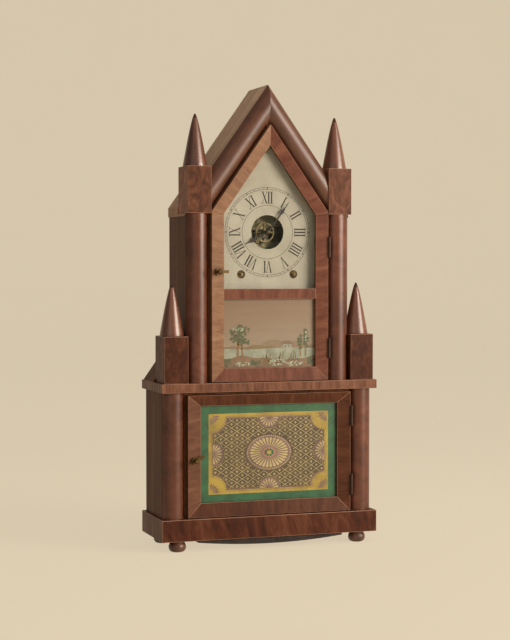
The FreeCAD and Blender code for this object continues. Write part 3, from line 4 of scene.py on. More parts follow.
import bmesh
import bpy
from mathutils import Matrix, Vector


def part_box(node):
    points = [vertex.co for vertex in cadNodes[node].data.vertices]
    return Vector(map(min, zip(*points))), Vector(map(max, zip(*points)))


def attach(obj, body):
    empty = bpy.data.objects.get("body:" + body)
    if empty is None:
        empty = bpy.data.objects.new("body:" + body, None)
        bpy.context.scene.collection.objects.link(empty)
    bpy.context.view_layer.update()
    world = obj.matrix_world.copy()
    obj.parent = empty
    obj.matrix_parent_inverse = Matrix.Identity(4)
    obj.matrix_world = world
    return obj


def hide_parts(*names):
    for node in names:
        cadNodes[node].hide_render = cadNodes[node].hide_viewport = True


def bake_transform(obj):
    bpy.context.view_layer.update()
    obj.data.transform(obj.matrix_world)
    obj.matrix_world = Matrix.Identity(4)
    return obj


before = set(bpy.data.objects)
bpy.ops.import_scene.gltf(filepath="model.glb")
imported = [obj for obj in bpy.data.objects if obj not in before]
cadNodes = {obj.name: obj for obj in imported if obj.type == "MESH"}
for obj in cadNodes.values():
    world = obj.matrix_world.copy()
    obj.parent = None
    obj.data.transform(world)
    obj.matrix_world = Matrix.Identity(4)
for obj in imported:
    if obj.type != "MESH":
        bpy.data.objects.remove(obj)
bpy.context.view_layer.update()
scene = bpy.context.scene
mm = 0.001
print("frame:", len(cadNodes), "nodes")


# camera, at the photograph's viewing angle
view = {
    "place": (-0.8025, -2.3195, 0.4237),
    "turn": 18.9,  # degrees to the right of straight ahead
    "down": 1.97,
    "lens": 90.84,
    "sensor": 36.0,
}


def makeCamera():
    lens = bpy.data.cameras.new("photoCamera")
    lens.lens = view["lens"]
    lens.sensor_width = view["sensor"]
    camera = bpy.data.objects.new("photoCamera", lens)
    camera.location = view["place"]
    camera.rotation_euler = (math.radians(90 - view["down"]), 0, math.radians(-view["turn"]))
    scene.collection.objects.link(camera)
    scene.camera = camera


makeCamera()
print("camera set")


# small helpers for shaders
def tone(code):
    # a colour as it is seen, such as "8a5a44", in the numbers that a shader wants
    parts = [int(code[start:start + 2], 16) / 255 for start in (0, 2, 4)]
    linear = [part / 12.92 if part <= 0.04045 else ((part + 0.055) / 1.055) ** 2.4
              for part in parts]
    return (*linear, 1.0)


def join(tree, value, socket):
    if isinstance(value, bpy.types.NodeSocket):
        tree.links.new(value, socket)
    else:
        socket.default_value = value


def add(tree, kind, inputs=None, **settings):
    made = tree.nodes.new("ShaderNode" + kind)
    for name, value in settings.items():
        setattr(made, name, value)
    for name, value in (inputs or {}).items():
        join(tree, value, made.inputs[name])
    return made


def calc(tree, operation, *values):
    return add(tree, "Math", dict(enumerate(values)), operation=operation).outputs[0]


def objectPlace(tree):
    return add(tree, "TexCoord").outputs["Object"]


def split(tree, vector):
    return add(tree, "SeparateXYZ", {0: vector}).outputs


def united(tree, *parts):
    return add(tree, "CombineXYZ", dict(enumerate(parts))).outputs[0]


def stretched(tree, place, scales):
    return add(tree, "VectorMath", {0: place, 1: scales}, operation="MULTIPLY").outputs[0]


def noise(tree, place, scale=1.0, detail=3.0, rough=0.5, twist=0.0):
    return add(tree, "TexNoise", {"Vector": place, "Scale": scale, "Detail": detail,
                                  "Roughness": rough, "Distortion": twist}).outputs[0]


def ramp(tree, factor, stops):
    # the first two stops are the outer ones
    made = add(tree, "ValToRGB", {"Fac": factor})
    steps = made.color_ramp.elements
    for number, (position, colour) in enumerate(stops):
        step = steps[number] if number < 2 else steps.new(position)
        step.position = position
        step.color = colour
    return made.outputs[0]


def blended(tree, factor, first, second, way="MIX"):
    return add(tree, "Mix", {0: factor, 6: first, 7: second}, data_type="RGBA",
               blend_type=way).outputs[2]


def emptyTree(owner):
    owner.use_nodes = True
    owner.node_tree.nodes.clear()
    return owner.node_tree


# what the settings of a look are called in the shader
sockets = {"metallic": "Metallic", "coat": "Coat Weight", "coatGloss": "Coat Roughness",
           "sheen": "Specular IOR Level", "alpha": "Alpha", "rough": "Roughness"}


def newShader(name, look):
    material = bpy.data.materials.new(name)
    tree = emptyTree(material)
    surface = add(tree, "BsdfPrincipled")
    add(tree, "OutputMaterial", {0: surface.outputs[0]})
    for key, socket in sockets.items():
        if key in look:
            surface.inputs[socket].default_value = look[key]
    return material, tree, surface


def tinted(tree, factor, look):
    return ramp(tree, factor, zip(look["stops"], map(tone, look["tones"])))


def cover(tree, surface, colour, look, factor=None, height=None):
    # roughness follows the factor within a range, and relief the height
    join(tree, colour, surface.inputs["Base Color"])
    if "shine" in look:
        ends = [look["gloss"] + change for change in look["shine"]]
        rough = add(tree, "MapRange", dict(enumerate((factor, *look["range"], *ends))))
        join(tree, rough.outputs[0], surface.inputs["Roughness"])
    if "relief" in look:
        relief = add(tree, "Bump", {"Height": height, "Strength": look["relief"],
                                    "Distance": look["bumpDepth"]})
        join(tree, relief.outputs[0], surface.inputs["Normal"])


# wood: the grain runs up the piece unless it is turned, by degrees around each axis
roofPitch = 54.65
grainUp = (0, 0, 0)
grainAcross = (0, -90, 0)
plainWood = {"grain": grainUp,
             "mirrored": False,  # both halves of the piece from one sheet, book-matched
             "turned": False,  # rounded, so without narrow sides
             "streak": 150, "stretch": 16, "waver": 0.5,  # fineness, length and sway of streaks
             "cloud": (26, 10, 7), "figure": (34, 12, 120), "twist": 1.2,
             "shares": (0.5, 0.3, 0.2),  # of streaks, clouds and figure
             "spread": 0.16,  # from the middle tone to the outer ones
             "pores": 0.55, "poreScale": (1500, 500, 75), "relief": 0.1, "bumpDepth": 0.0004,
             # painted light: a factor that makes the faces looking left and right lighter than
             # the front
             "paintedSideLight": None,  # tint of the narrow sides
             "gloss": 0.42, "range": (0.3, 0.7), "shine": (0.07, -0.05),
             "coat": 0.0, "coatGloss": 0.2, "sheen": 0.12}


def grainAlong(angle):
    # degrees above +X, seen from the front
    return (0, angle - 90, 0)


def grainPlaces(tree, wood):
    coordinates = add(tree, "TexCoord")
    turn = [math.radians(angle) for angle in wood["grain"]]
    places = []
    for output, kind in (("Object", "POINT"), ("Normal", "VECTOR")):
        source = coordinates.outputs[output]
        if wood["mirrored"]:
            apart = split(tree, source)
            source = united(tree, calc(tree, "ABSOLUTE", apart[0]), apart[1], apart[2])
        places.append(add(tree, "Mapping", {"Vector": source, "Rotation": turn},
                          vector_type=kind).outputs[0])
    if wood["turned"]:
        return places[0], None
    # on a board's narrow side the streaks follow its depth instead of its width
    side = calc(tree, "GREATER_THAN", calc(tree, "ABSOLUTE", split(tree, places[1])[0]), 0.7)
    apart = split(tree, places[0])
    swapped = united(tree, apart[1], apart[0], apart[2])
    chosen = add(tree, "Mix", {0: side, 4: places[0], 5: swapped}, data_type="VECTOR")
    return chosen.outputs[1], side


def makeWood(name, wood):
    wood = {**plainWood, **wood}
    material, tree, surface = newShader(name, wood)
    place, side = grainPlaces(tree, wood)
    streak = wood["streak"]
    fine = noise(tree, stretched(tree, place, (streak, streak * 0.3, streak / wood["stretch"])),
                 detail=6, rough=0.62, twist=wood["waver"])
    broad = noise(tree, stretched(tree, place, wood["cloud"]), detail=3, rough=0.55, twist=0.6)
    figure = noise(tree, stretched(tree, place, wood["figure"]), detail=4, rough=0.55,
                   twist=wood["twist"])
    mixed = calc(tree, "MULTIPLY", fine, wood["shares"][0])
    mixed = calc(tree, "MULTIPLY_ADD", broad, wood["shares"][1], mixed)
    mixed = calc(tree, "MULTIPLY_ADD", figure, wood["shares"][2], mixed)
    dark, middle, light = map(tone, wood["tones"])
    colour = ramp(tree, mixed, [(0.5 - wood["spread"], dark), (0.5 + wood["spread"], light),
                                (0.5, middle)])
    pores = noise(tree, stretched(tree, place, wood["poreScale"]), detail=2, rough=0.5)
    porous = ramp(tree, pores, [(0.34, (0.45, 0.4, 0.38, 1)), (0.46, (1, 1, 1, 1))])
    colour = blended(tree, wood["pores"], colour, porous, "MULTIPLY")
    # painted light: the narrow sides, which face left and right, are lightened by this factor
    if wood["paintedSideLight"]:
        sideLit = blended(tree, 1.0, colour, (*wood["paintedSideLight"], 1.0), "MULTIPLY")
        colour = blended(tree, side, colour, sideLit)
    cover(tree, surface, colour, wood, fine, calc(tree, "MULTIPLY_ADD", pores, 0.6, fine))
    return material


# plinth, block and lowerBlock carry painted light: their left and right faces are made lighter
woods = {
    "plinth": {"tones": ("331b12", "4c281a", "623c2a"), "streak": 100, "stretch": 5,
               "figure": (50, 27, 19), "shares": (0.34, 0.22, 0.44), "spread": 0.12,
               "grain": (0, 14, 0), "paintedSideLight": (1.45, 1.3, 1.2)},
    "ledge": {"tones": ("462a1c", "6c4837", "89614d"), "stretch": 8, "figure": (80, 50, 12),
              "shares": (0.4, 0.2, 0.4)},
    "caseSide": {"tones": ("402417", "573423", "6b4632"), "streak": 110, "stretch": 24,
                 "cloud": (20, 20, 4), "shares": (0.4, 0.45, 0.15), "spread": 0.26,
                 "gloss": 0.55},
    "column": {"tones": ("3c1f14", "5c3322", "764633"), "streak": 55, "stretch": 10,
               "figure": (30, 30, 46), "twist": 1.4, "shares": (0.3, 0.3, 0.4),
               "spread": 0.17, "turned": True, "gloss": 0.34, "sheen": 0.44, "pores": 0.2,
               "relief": 0.02},
    "block": {"tones": ("3a2117", "5d3927", "7b503c"), "streak": 90, "stretch": 3,
              "figure": (46, 46, 34), "twist": 2.0, "shares": (0.3, 0.2, 0.5), "waver": 1.4,
              "spread": 0.14, "gloss": 0.44, "paintedSideLight": (2.0, 1.85, 1.75)},
    "spire": {"tones": ("402316", "5f3826", "7a4e38"), "streak": 70, "stretch": 26,
              "turned": True, "shares": (0.6, 0.3, 0.1), "gloss": 0.35, "coat": 0.1,
              "sheen": 0.75, "pores": 0.2, "relief": 0.02},
    "spireTip": {"tones": ("2a1710", "3c251a", "4d3224"), "stretch": 8, "turned": True,
                 "gloss": 0.34, "coat": 0.3},
    "moulding": {"tones": ("3c2215", "583523", "714833"), "streak": 90, "stretch": 18,
                 "grain": grainAlong(-roofPitch), "mirrored": True, "turned": True,
                 "figure": (40, 30, 30), "shares": (0.45, 0.25, 0.3), "coat": 0.14,
                 "sheen": 0.55, "pores": 0.25, "relief": 0.03},
    "roof": {"tones": ("7a563f", "9c7456", "b68d6c"), "streak": 120, "stretch": 22,
             "grain": grainAlong(-roofPitch), "mirrored": True, "spread": 0.2},
    # painted light: frontFrame's tones are lifted so the shaded gaps beside the doors show dark
    # brown rather than black
    "frontFrame": {"tones": ("57331f", "7c4e33", "976547"), "streak": 110},
    "pine": {"tones": ("8b6a45", "ab8a60", "c4a67c"), "streak": 70, "stretch": 22,
             "figure": (26, 12, 3), "gloss": 0.66, "pores": 0.25, "shares": (0.4, 0.2, 0.4),
             "relief": 0.2},
    "foot": {"tones": ("321c12", "543322", "704735"), "streak": 100, "stretch": 8,
             "turned": True, "gloss": 0.44, "coat": 0.12, "sheen": 0.5},
    # painted highlight, partly wear: lighter wood on the rounded edges
    "wearHighlightEdge": {"tones": ("7a5846", "8e6a55", "a07d67"), "streak": 90, "spread": 0.2,
                 "gloss": 0.4, "relief": 0.0, "pores": 0.1},
}
woods["lowerBlock"] = {**woods["block"], "tones": ("2c150c", "462517", "5d3624"),
                       "spread": 0.15, "paintedSideLight": (1.5, 1.35, 1.25)}
# doorLight and doorMid, used on the left-hand members, are lighter copies of the door wood:
# painted light
doorWoods = {
    "doorLight": {"tones": ("674836", "826149", "9b7b62"), "figure": (70, 20, 20),
                  "shares": (0.4, 0.25, 0.35), "spread": 0.2},
    "doorRed": {"tones": ("4c2a20", "673f31", "805442"), "figure": (75, 20, 16),
                "shares": (0.35, 0.2, 0.45), "spread": 0.18},
    "doorDark": {"tones": ("371e14", "4d2c1c", "623d2a"), "figure": (70, 20, 14),
                 "shares": (0.35, 0.2, 0.45), "spread": 0.17},
    "doorMid": {"tones": ("4a2c1f", "644230", "7c5741"), "figure": (70, 20, 18),
                "shares": (0.35, 0.2, 0.45), "spread": 0.19},
}
finishes = {name: makeWood(name, wood) for name, wood in woods.items()}


def doorWood(kind, name, grain):
    # each member of a door is cut from its own place in the veneer; the lighter doorLight and
    # doorMid tones on the left-hand members are painted light
    key = kind + name
    finishes[key] = makeWood(key, {"streak": 110, "stretch": 5, **doorWoods[kind],
                                   "grain": grain})
    return key


# metals and paints: clouds and finer strokes or specks between two tones
plainMetal = {"metallic": 1.0, "gloss": 0.35, "cloud": 90, "cloudNoise": (4, 0.6),
              "fine": (1200, 1200, 160), "fineNoise": (3, 0.6), "shares": (0.65, 0.35),
              "stops": (0.36, 0.62), "range": (0.35, 0.65), "shine": (0.14, -0.06),
              "relief": 0.05, "bumpDepth": 0.0003}
plainPaint = {"coat": 0.6, "coatGloss": 0.06, "sheen": 0.4, "gloss": 0.34, "cloud": 34,
              "cloudNoise": (5, 0.6, 0.4), "fine": (700, 700, 700), "fineNoise": (3, 0.6),
              "shares": (0.7, 0.3), "stops": (0.36, 0.6), "range": (0.35, 0.65),
              "shine": (0.08, -0.05), "relief": 0.04, "bumpDepth": 0.0002}
metals = {
    "agedBrass": {"tones": ("3f3221", "6d5836"), "gloss": 0.42},
    # painted shade: the hinges are given a near-black, non-metallic brown so that they merge into
    # the shaded door gaps
    "hingeShadeBrass": {"tones": ("28180f", "3a2418"), "gloss": 0.7, "metallic": 0.0},
    "wheelBrass": {"tones": ("585039", "7c7053"), "gloss": 0.47},
    "plateBrass": {"tones": ("6b664d", "958f71"), "gloss": 0.5, "metallic": 0.75},
    "arborSteel": {"tones": ("7c7a76", "a9a6a0"), "gloss": 0.3},
    "handSteel": {"tones": ("17130f", "2b2620"), "gloss": 0.46, "metallic": 0.5},
    "blackIron": {"tones": ("232120", "3b3733"), "gloss": 0.5, "relief": 0.2},
    "springSteel": {"tones": ("18100a", "2c2018"), "gloss": 0.6, "metallic": 0.2},
    "bobBrass": {"tones": ("9a7f42", "d6b870"), "gloss": 0.24},
    "screwHead": {"tones": ("4c4238", "70604c"), "gloss": 0.4},
}
paints = {
    "dialPaint": {"tones": ("9b9989", "b1b0a0"), "gloss": 0.52, "cloud": 16, "coat": 0.0},
    "numeralPaint": {"tones": ("1b1914", "2f2b23"), "gloss": 0.6, "coat": 0.0},
    "greenPaint": {"tones": ("18432b", "2f6341"), "gloss": 0.3, "cloud": 50},
    "goldPaint": {"tones": ("7f6c2c", "a8923c"), "cloud": 26},
    "lacePaint": {"tones": ("3c3120", "5b4c32"), "cloud": 60},
    "mauvePaint": {"tones": ("5d4843", "7c6259")},
    "paleGold": {"tones": ("94875a", "b2a572")},
    "rosePaint": {"tones": ("7d5a4c", "a07a66")},
    "farHill": {"tones": ("6f5c46", "82705a"), "gloss": 0.3},
    "nearHill": {"tones": ("63543a", "776749"), "gloss": 0.3},
    "lakePaint": {"tones": ("767d6d", "929684"), "gloss": 0.3, "cloud": 90},
    "groundPaint": {"tones": ("5c4a36", "7d674f"), "gloss": 0.3, "cloud": 80},
    "leafPaint": {"tones": ("373d28", "565c3e"), "gloss": 0.3, "cloud": 120},
    "paleLeaf": {"tones": ("7c8a72", "a3aa92"), "gloss": 0.3, "cloud": 120},
    "reedPaint": {"tones": ("5a4327", "7d6138"), "gloss": 0.3},
}


def makeCoat(name, look):
    material, tree, surface = newShader(name, look)
    place = objectPlace(tree)
    cloud = noise(tree, place, look["cloud"], *look["cloudNoise"])
    fine = noise(tree, stretched(tree, place, look["fine"]), 1, *look["fineNoise"])
    mixed = calc(tree, "MULTIPLY_ADD", fine, look["shares"][1],
                 calc(tree, "MULTIPLY", cloud, look["shares"][0]))
    colour = tinted(tree, mixed, look)
    if "heart" in look:  # steel arbor in the middle of a brass wheel
        across, up, radius = look["heart"]
        offset = add(tree, "VectorMath", {0: place, 1: (across, 0, up)}, operation="SUBTRACT")
        away = add(tree, "VectorMath", {0: stretched(tree, offset.outputs[0], (1, 0, 1))},
                   operation="LENGTH")
        colour = blended(tree, calc(tree, "LESS_THAN", away.outputs["Value"], radius), colour,
                         tone(look["heartTone"]))
    cover(tree, surface, colour, look, mixed, fine)
    return material


# sky: its horizon, its top and the tone between
skyLook = {"tones": ("867b69", "745d45", "7d6a53"), "stops": (0.1, 1.0, 0.55),
           "from": 0.300, "to": 0.372, "rise": 0.72,  # heights in the frame, share at the top
           "streaks": (12, 12, 130), "streakNoise": (4, 0.6, 0.4), "streakShare": 0.42,
           "coat": 0.6, "coatGloss": 0.06, "rough": 0.34}
glassLook = {"tone": "4a4f48", "alpha": 0.05, "sheen": 0.4, "ripple": (16, 2, 0.5), "gloss": 0.05,
             "range": (0.3, 0.7), "shine": (-0.02, 0.02), "relief": 0.05, "bumpDepth": 0.001}
cordLook = {"tones": ("5d4c36", "a28a66"), "stops": (0.1, 0.8), "rough": 0.85,
            "strands": 260.0, "relief": 0.5, "bumpDepth": 0.0004}


def makeSky():
    # warm evening sky that pales towards the horizon
    look = skyLook
    material, tree, surface = newShader("skyPaint", look)
    place = objectPlace(tree)
    streaks = noise(tree, stretched(tree, place, look["streaks"]), 1, *look["streakNoise"])
    rise = add(tree, "MapRange", dict(enumerate((split(tree, place)[2], look["from"], look["to"],
                                                 0.0, look["rise"]))))
    mixed = calc(tree, "MULTIPLY_ADD", streaks, look["streakShare"], rise.outputs[0])
    cover(tree, surface, tinted(tree, mixed, look), look)
    return material


def makeGlass():
    material, tree, surface = newShader("clearGlass", glassLook)
    ripple = noise(tree, objectPlace(tree), *glassLook["ripple"])
    cover(tree, surface, tone(glassLook["tone"]), glassLook, ripple, ripple)
    material.surface_render_method = "BLENDED"
    return material


def makeCordFinish():
    material, tree, surface = newShader("cordFinish", cordLook)
    strands = add(tree, "TexWave", {"Vector": objectPlace(tree), "Scale": cordLook["strands"],
                                    "Distortion": 1.0},
                  wave_type="BANDS", bands_direction="DIAGONAL").outputs["Fac"]
    cover(tree, surface, tinted(tree, strands, cordLook), cordLook, height=strands)
    return material


for plain, looks in ((plainMetal, metals), (plainPaint, paints)):
    for name, look in looks.items():
        finishes[name] = makeCoat(name, {**plain, **look})
finishes.update({"skyPaint": makeSky(), "clearGlass": makeGlass(),
                 "cordFinish": makeCordFinish()})
print("finishes:", len(finishes))


# small helpers for meshes
edgeAngle = 32  # degrees, from which an edge is rounded
turnedAngle = 40  # from which an edge of a turned piece stays sharp
smallAngle = 35  # the same for small fittings


def makeObject(name, bm, materials):
    bmesh.ops.recalc_face_normals(bm, faces=bm.faces)
    data = bpy.data.meshes.new(name)
    bm.to_mesh(data)
    bm.free()
    for material in materials:
        data.materials.append(material)
    made = bpy.data.objects.new(name, data)
    scene.collection.objects.link(made)
    return made


def makePiece(name, bm, finish, body, node=None):
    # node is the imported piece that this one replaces
    names = [finish] if isinstance(finish, str) else finish
    piece = makeObject(name, bm, [finishes[one] for one in names])
    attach(piece, body)
    if node:
        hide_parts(node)
    return piece


def smoothed(piece, angle=None):
    for face in piece.data.polygons:
        face.use_smooth = True
    if angle:
        piece.data.set_sharp_from_angle(angle=math.radians(angle))
    return piece


def softened(piece, width, steps=2, wearHighlight=None, joinUp=False):
    # rounds the edges and, where an edge finish is given, shows them in it: lighter wood that is
    # partly wear and partly a painted highlight
    if joinUp:
        weld = piece.modifiers.new("joinUp", "WELD")
        weld.merge_threshold = 0.01 * mm
    soft = piece.modifiers.new("softEdge", "BEVEL")
    soft.width = width * mm
    soft.segments = steps
    soft.limit_method = "ANGLE"
    soft.angle_limit = math.radians(edgeAngle)
    if wearHighlight:
        piece.data.materials.append(finishes[wearHighlight])
        soft.material = len(piece.data.materials) - 1
    smoothed(piece)
    even = piece.modifiers.new("evenFaces", "WEIGHTED_NORMAL")
    even.keep_sharp = False
    return piece


def scaled(points):
    return [tuple(value * mm for value in point) for point in points]


def inMetres(shape):
    return {key: value * mm for key, value in shape.items()}


def around(centre, radius, turn, squash=1.0):
    return (centre[0] + radius * math.cos(turn), centre[1] + radius * squash * math.sin(turn))


def moved(point, direction, distance):
    return tuple(start + part * distance for start, part in zip(point, direction))


def rectangle(low, high):
    return [(low[0], low[1]), (high[0], low[1]), (high[0], high[1]), (low[0], high[1])]


def disc(centre, radius, steps, squash=1.0):
    return [around(centre, radius, 2 * math.pi * step / steps, squash) for step in range(steps)]


def roundedBox(low, high, radius, steps=4):
    points = []
    inset = rectangle([value + radius for value in low], [value - radius for value in high])
    for quarter, corner in enumerate((inset[2], inset[3], inset[0], inset[1])):
        points += [around(corner, radius, math.pi / 2 * (quarter + step / steps))
                   for step in range(steps + 1)]
    return points


def skin(bm, rings, closed=True, caps=True, joined=False):
    # skins a row of rings with equally many points; joined: the last one meets the first
    rings = [[bm.verts.new(point) for point in ring] for ring in rings]
    if joined:
        rings.append(rings[0])
    size = len(rings[0])
    for first, second in zip(rings, rings[1:]):
        for index in range(size if closed else size - 1):
            following = (index + 1) % size
            bm.faces.new((first[index], first[following], second[following], second[index]))
    if caps:
        bm.faces.new(rings[0])
        bm.faces.new(rings[-1][::-1])


def slab(bm, outline, near, far):
    # an outline of (across, up) carried from near to far along Y
    skin(bm, [[(across, depth, up) for across, up in outline] for depth in (near, far)])


def brick(bm, low, high):
    slab(bm, rectangle((low[0], low[2]), (high[0], high[2])), low[1], high[1])


def lathe(bm, profile, centre, steps, along):
    # profile is (radius, distance along the axis) in millimetres
    rings = []
    for radius, distance in scaled(profile):
        ring = []
        for step in range(steps if radius > 0 else 1):
            side, other = around((0, 0), radius, 2 * math.pi * step / steps)
            offset = (side, other, distance) if along == "z" else (side, distance, other)
            ring.append(bm.verts.new(Vector(centre) + Vector(offset)))
        rings.append(ring)
    for first, second in zip(rings, rings[1:]):
        for index in range(steps):
            following = (index + 1) % steps
            corners = [first[index % len(first)], first[following % len(first)],
                       second[following % len(second)], second[index % len(second)]]
            corners = list(dict.fromkeys(corners))
            if len(corners) > 2:
                bm.faces.new(corners)
    for ring in (rings[0], rings[-1]):
        if len(ring) > 1:
            bm.faces.new(ring)


def turned(name, profile, spots, sides, finish, body, node=None, along="y",
           angle=smallAngle):
    # the same profile turned around each spot
    bm = bmesh.new()
    for spot in spots:
        lathe(bm, profile, spot, sides, along)
    piece = makePiece(name, bm, finish, body, node)
    return smoothed(piece, angle) if angle else piece


def band(bm, centre, inner, outer, near, far, steps):
    # a flat ring facing the front
    skin(bm, [[(across, depth, up) for across, up in disc(centre, radius, steps)]
              for radius, depth in ((inner, near), (outer, near), (outer, far), (inner, far))],
         caps=False, joined=True)


def holedSlab(bm, outline, holes, near, far):
    # a plate with openings: all outlines are (across, up)
    edges = []
    for points in [outline] + holes:
        corners = [bm.verts.new((across, near, up)) for across, up in points]
        edges += [bm.edges.new((corner, corners[(index + 1) % len(corners)]))
                  for index, corner in enumerate(corners)]
    filled = bmesh.ops.triangle_fill(bm, use_beauty=True, use_dissolve=False, edges=edges)
    faces = [item for item in filled["geom"] if isinstance(item, bmesh.types.BMFace)]
    raised = bmesh.ops.extrude_face_region(bm, geom=faces)
    corners = [item for item in raised["geom"] if isinstance(item, bmesh.types.BMVert)]
    bmesh.ops.translate(bm, verts=corners, vec=(0, far - near, 0))


# floor, backdrop and light
studio = {
    "floorTone": "e2d3b8", "cloudTone": "c9b795", "cloudShare": 0.05, "clouds": (3.0, 3, 0.5),
    "glow": 0.84,  # share of the paper's colour that doesn't depend on the lamps
    "wall": 7.0,  # distance and height of the paper's upright part
    "bend": 1.6,  # radius of the curve from floor to wall
    "reach": 22.0,  # how far the paper goes to the sides and to the front
    "world": 0.22, "worldTone": "efe9df",
    "aim": (0, 0, 0.33),
    "key": {"place": (1.75, -1.9, 0.95), "size": (1.5, 1.3), "power": 92.0, "tone": "fff0e0"},
    "fill": {"place": (-1.9, -2.6, 0.9), "size": (2.0, 2.0), "power": 12.0, "tone": "ffeedd"},
    "top": {"place": (0.2, -0.5, 2.4), "size": (1.4, 1.4), "power": 14.0, "tone": "fffaf2"},
}


def makePaper():
    material = bpy.data.materials.new("backdropPaper")
    tree = emptyTree(material)
    clouds = noise(tree, objectPlace(tree), *studio["clouds"])
    colour = blended(tree, calc(tree, "MULTIPLY", clouds, studio["cloudShare"]),
                     tone(studio["floorTone"]), tone(studio["cloudTone"]))
    path = add(tree, "LightPath").outputs
    seen = calc(tree, "MAXIMUM", path["Is Camera Ray"],
                calc(tree, "MAXIMUM", path["Is Glossy Ray"], path["Is Transmission Ray"]))
    share = calc(tree, "MULTIPLY", seen, studio["glow"])
    glow = add(tree, "Emission", {"Color": colour, "Strength": share})
    matt = add(tree, "BsdfDiffuse", {"Color": blended(tree, share, colour, (0, 0, 0, 1))})
    both = add(tree, "AddShader", {0: glow.outputs[0], 1: matt.outputs[0]})
    add(tree, "OutputMaterial", {0: both.outputs[0]})
    return material


def makeStage():
    # one sheet of paper: a floor that curves up into the backdrop
    wall, bend, reach = studio["wall"], studio["bend"], studio["reach"]
    curve = [around((wall - bend, bend), bend, math.radians(turn - 90))
             for turn in range(10, 91, 10)]
    rows = [(-reach, 0.0), (wall - bend, 0.0), *curve, (wall, wall)]
    bm = bmesh.new()
    skin(bm, [[(side, depth, up) for side in (-reach, reach)] for depth, up in rows],
         closed=False, caps=False)
    sheet = smoothed(makeObject("backdrop", bm, [makePaper()]))
    sheet.rotation_euler = (0, 0, math.radians(-view["turn"]))


def makeLights():
    for name in ("key", "fill", "top"):
        settings = studio[name]
        lamp = bpy.data.lights.new(name, "AREA")
        lamp.shape = "RECTANGLE"
        lamp.size, lamp.size_y = settings["size"]
        lamp.energy = settings["power"]
        lamp.color = tone(settings["tone"])[:3]
        holder = bpy.data.objects.new(name, lamp)
        holder.location = settings["place"]
        aim = Vector(studio["aim"]) - Vector(settings["place"])
        holder.rotation_euler = aim.to_track_quat("-Z", "Y").to_euler()
        scene.collection.objects.link(holder)
    scene.world = bpy.data.worlds.new("studioWorld")
    tree = emptyTree(scene.world)
    sky = add(tree, "Background", {"Color": tone(studio["worldTone"]),
                                   "Strength": studio["world"]})
    add(tree, "OutputWorld", {0: sky.outputs[0]})


makeStage()
makeLights()
scene.view_settings.view_transform = "Standard"
print("stage and lights set")


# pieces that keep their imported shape, by finish: how far each one's edges are rounded
packedPieces = {
    "ledge": {"ledge_board": 0.8},
    "pine": {"base_board": 0.3, "back_boards": 0.4, "dial_rails": 0.3},
    "caseSide": {"lower_sides": 0.3, "upper_sides": 0.4, "wing_roofs": 0.5},
    "frontFrame": {"lower_stiles": 0.3, "upper_front_frame": 0.3},
    "column": {"lower_columns": 0, "upper_columns": 0},
    "block": {"upper_blocks": 0.7},
    "lowerBlock": {"lower_blocks": 0.7},
    "roof": {"roof_boards": 0.6},
    "moulding": {"gable_mouldings": 0},
    "dialPaint": {"dial_plate": 0.15},
    "clearGlass": {"dial_glass": 0},
    "hingeShadeBrass": {"case_hinge_leaves": 0.15, "upper_door_leaves": 0.15,
                  "lower_door_leaves": 0.15, "hinge_pins": 0.2},
    "agedBrass": {"upper_latch": 0.35, "lower_latch": 0.35},
    "plateBrass": {"movement_pillars": 0.15, "suspension_cock": 0.3, "time_drum": 0.15,
                   "strike_drum": 0.15},
    "springSteel": {"strike_gong": 0, "spring_leaves": 0.3, "spring_bow": 0.3},
    "blackIron": {"spring_clamp": 0.5, "lever_brackets": 0.4, "time_lever": 0.4,
                  "strike_lever": 0.4},
    "arborSteel": {"pendulum_rod": 0, "hammer": 0.15, "verge": 0.1},
    "bobBrass": {"pendulum_bob": 0.3},
}
# these pieces show the lighter edge finish on their rounded edges: partly wear, partly a painted
# highlight
wearHighlightNodes = ("ledge_board", "lower_blocks", "upper_blocks", "wing_roofs", "roof_boards")
# radius of the steel arbor that shows in the middle of a wheel
wheelHearts = {"minute_wheel": 0.0, "second_wheel": 1.6, "third_wheel": 1.6, "escape_wheel": 1.6,
               "strike_pin_wheel": 1.6, "strike_fly": 1.6, "time_great_wheel": 0.0,
               "strike_great_wheel": 0.0, "centre_arbor": 1.6, "hour_wheel": 1.4}
wheelLook = {**plainMetal, **metals["wheelBrass"], "heartTone": "8d8a84"}
wheelEdge = 0.08


def dress(node, finish, width, wearHighlight=None, steps=2):
    piece = cadNodes[node]
    piece.data.materials.clear()
    piece.data.materials.append(finishes[finish])
    if width:
        softened(piece, width, steps, wearHighlight, joinUp=True)


for finish, nodes in packedPieces.items():
    for node, width in nodes.items():
        dress(node, finish, width, "wearHighlightEdge" if node in wearHighlightNodes else None)
for node, radius in wheelHearts.items():
    low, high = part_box(node)
    middle = (low + high) / 2
    finishes[node] = makeCoat(node, {**wheelLook, "heart": (middle.x, middle.z, radius * mm)})
    dress(node, node, wheelEdge, steps=1)
print("packed pieces dressed")


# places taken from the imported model
plinthLow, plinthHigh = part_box("plinth_boards")
paneLow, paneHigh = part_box("picture_tablet")
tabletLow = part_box("lower_tablet")[0]
dialLow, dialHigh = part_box("dial_plate")
hubUp = sum(corner.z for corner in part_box("centre_arbor")) / 2
slopeRate = math.tan(math.radians(roofPitch))
rake = 1 / math.cos(math.radians(roofPitch))


# the plinth: its boards under one veneer, mitred at the front corners
plinthShape = {"front": 18.3, "side": 12.0, "rail": 22.0, "floor": 8.0, "edge": 0.9}


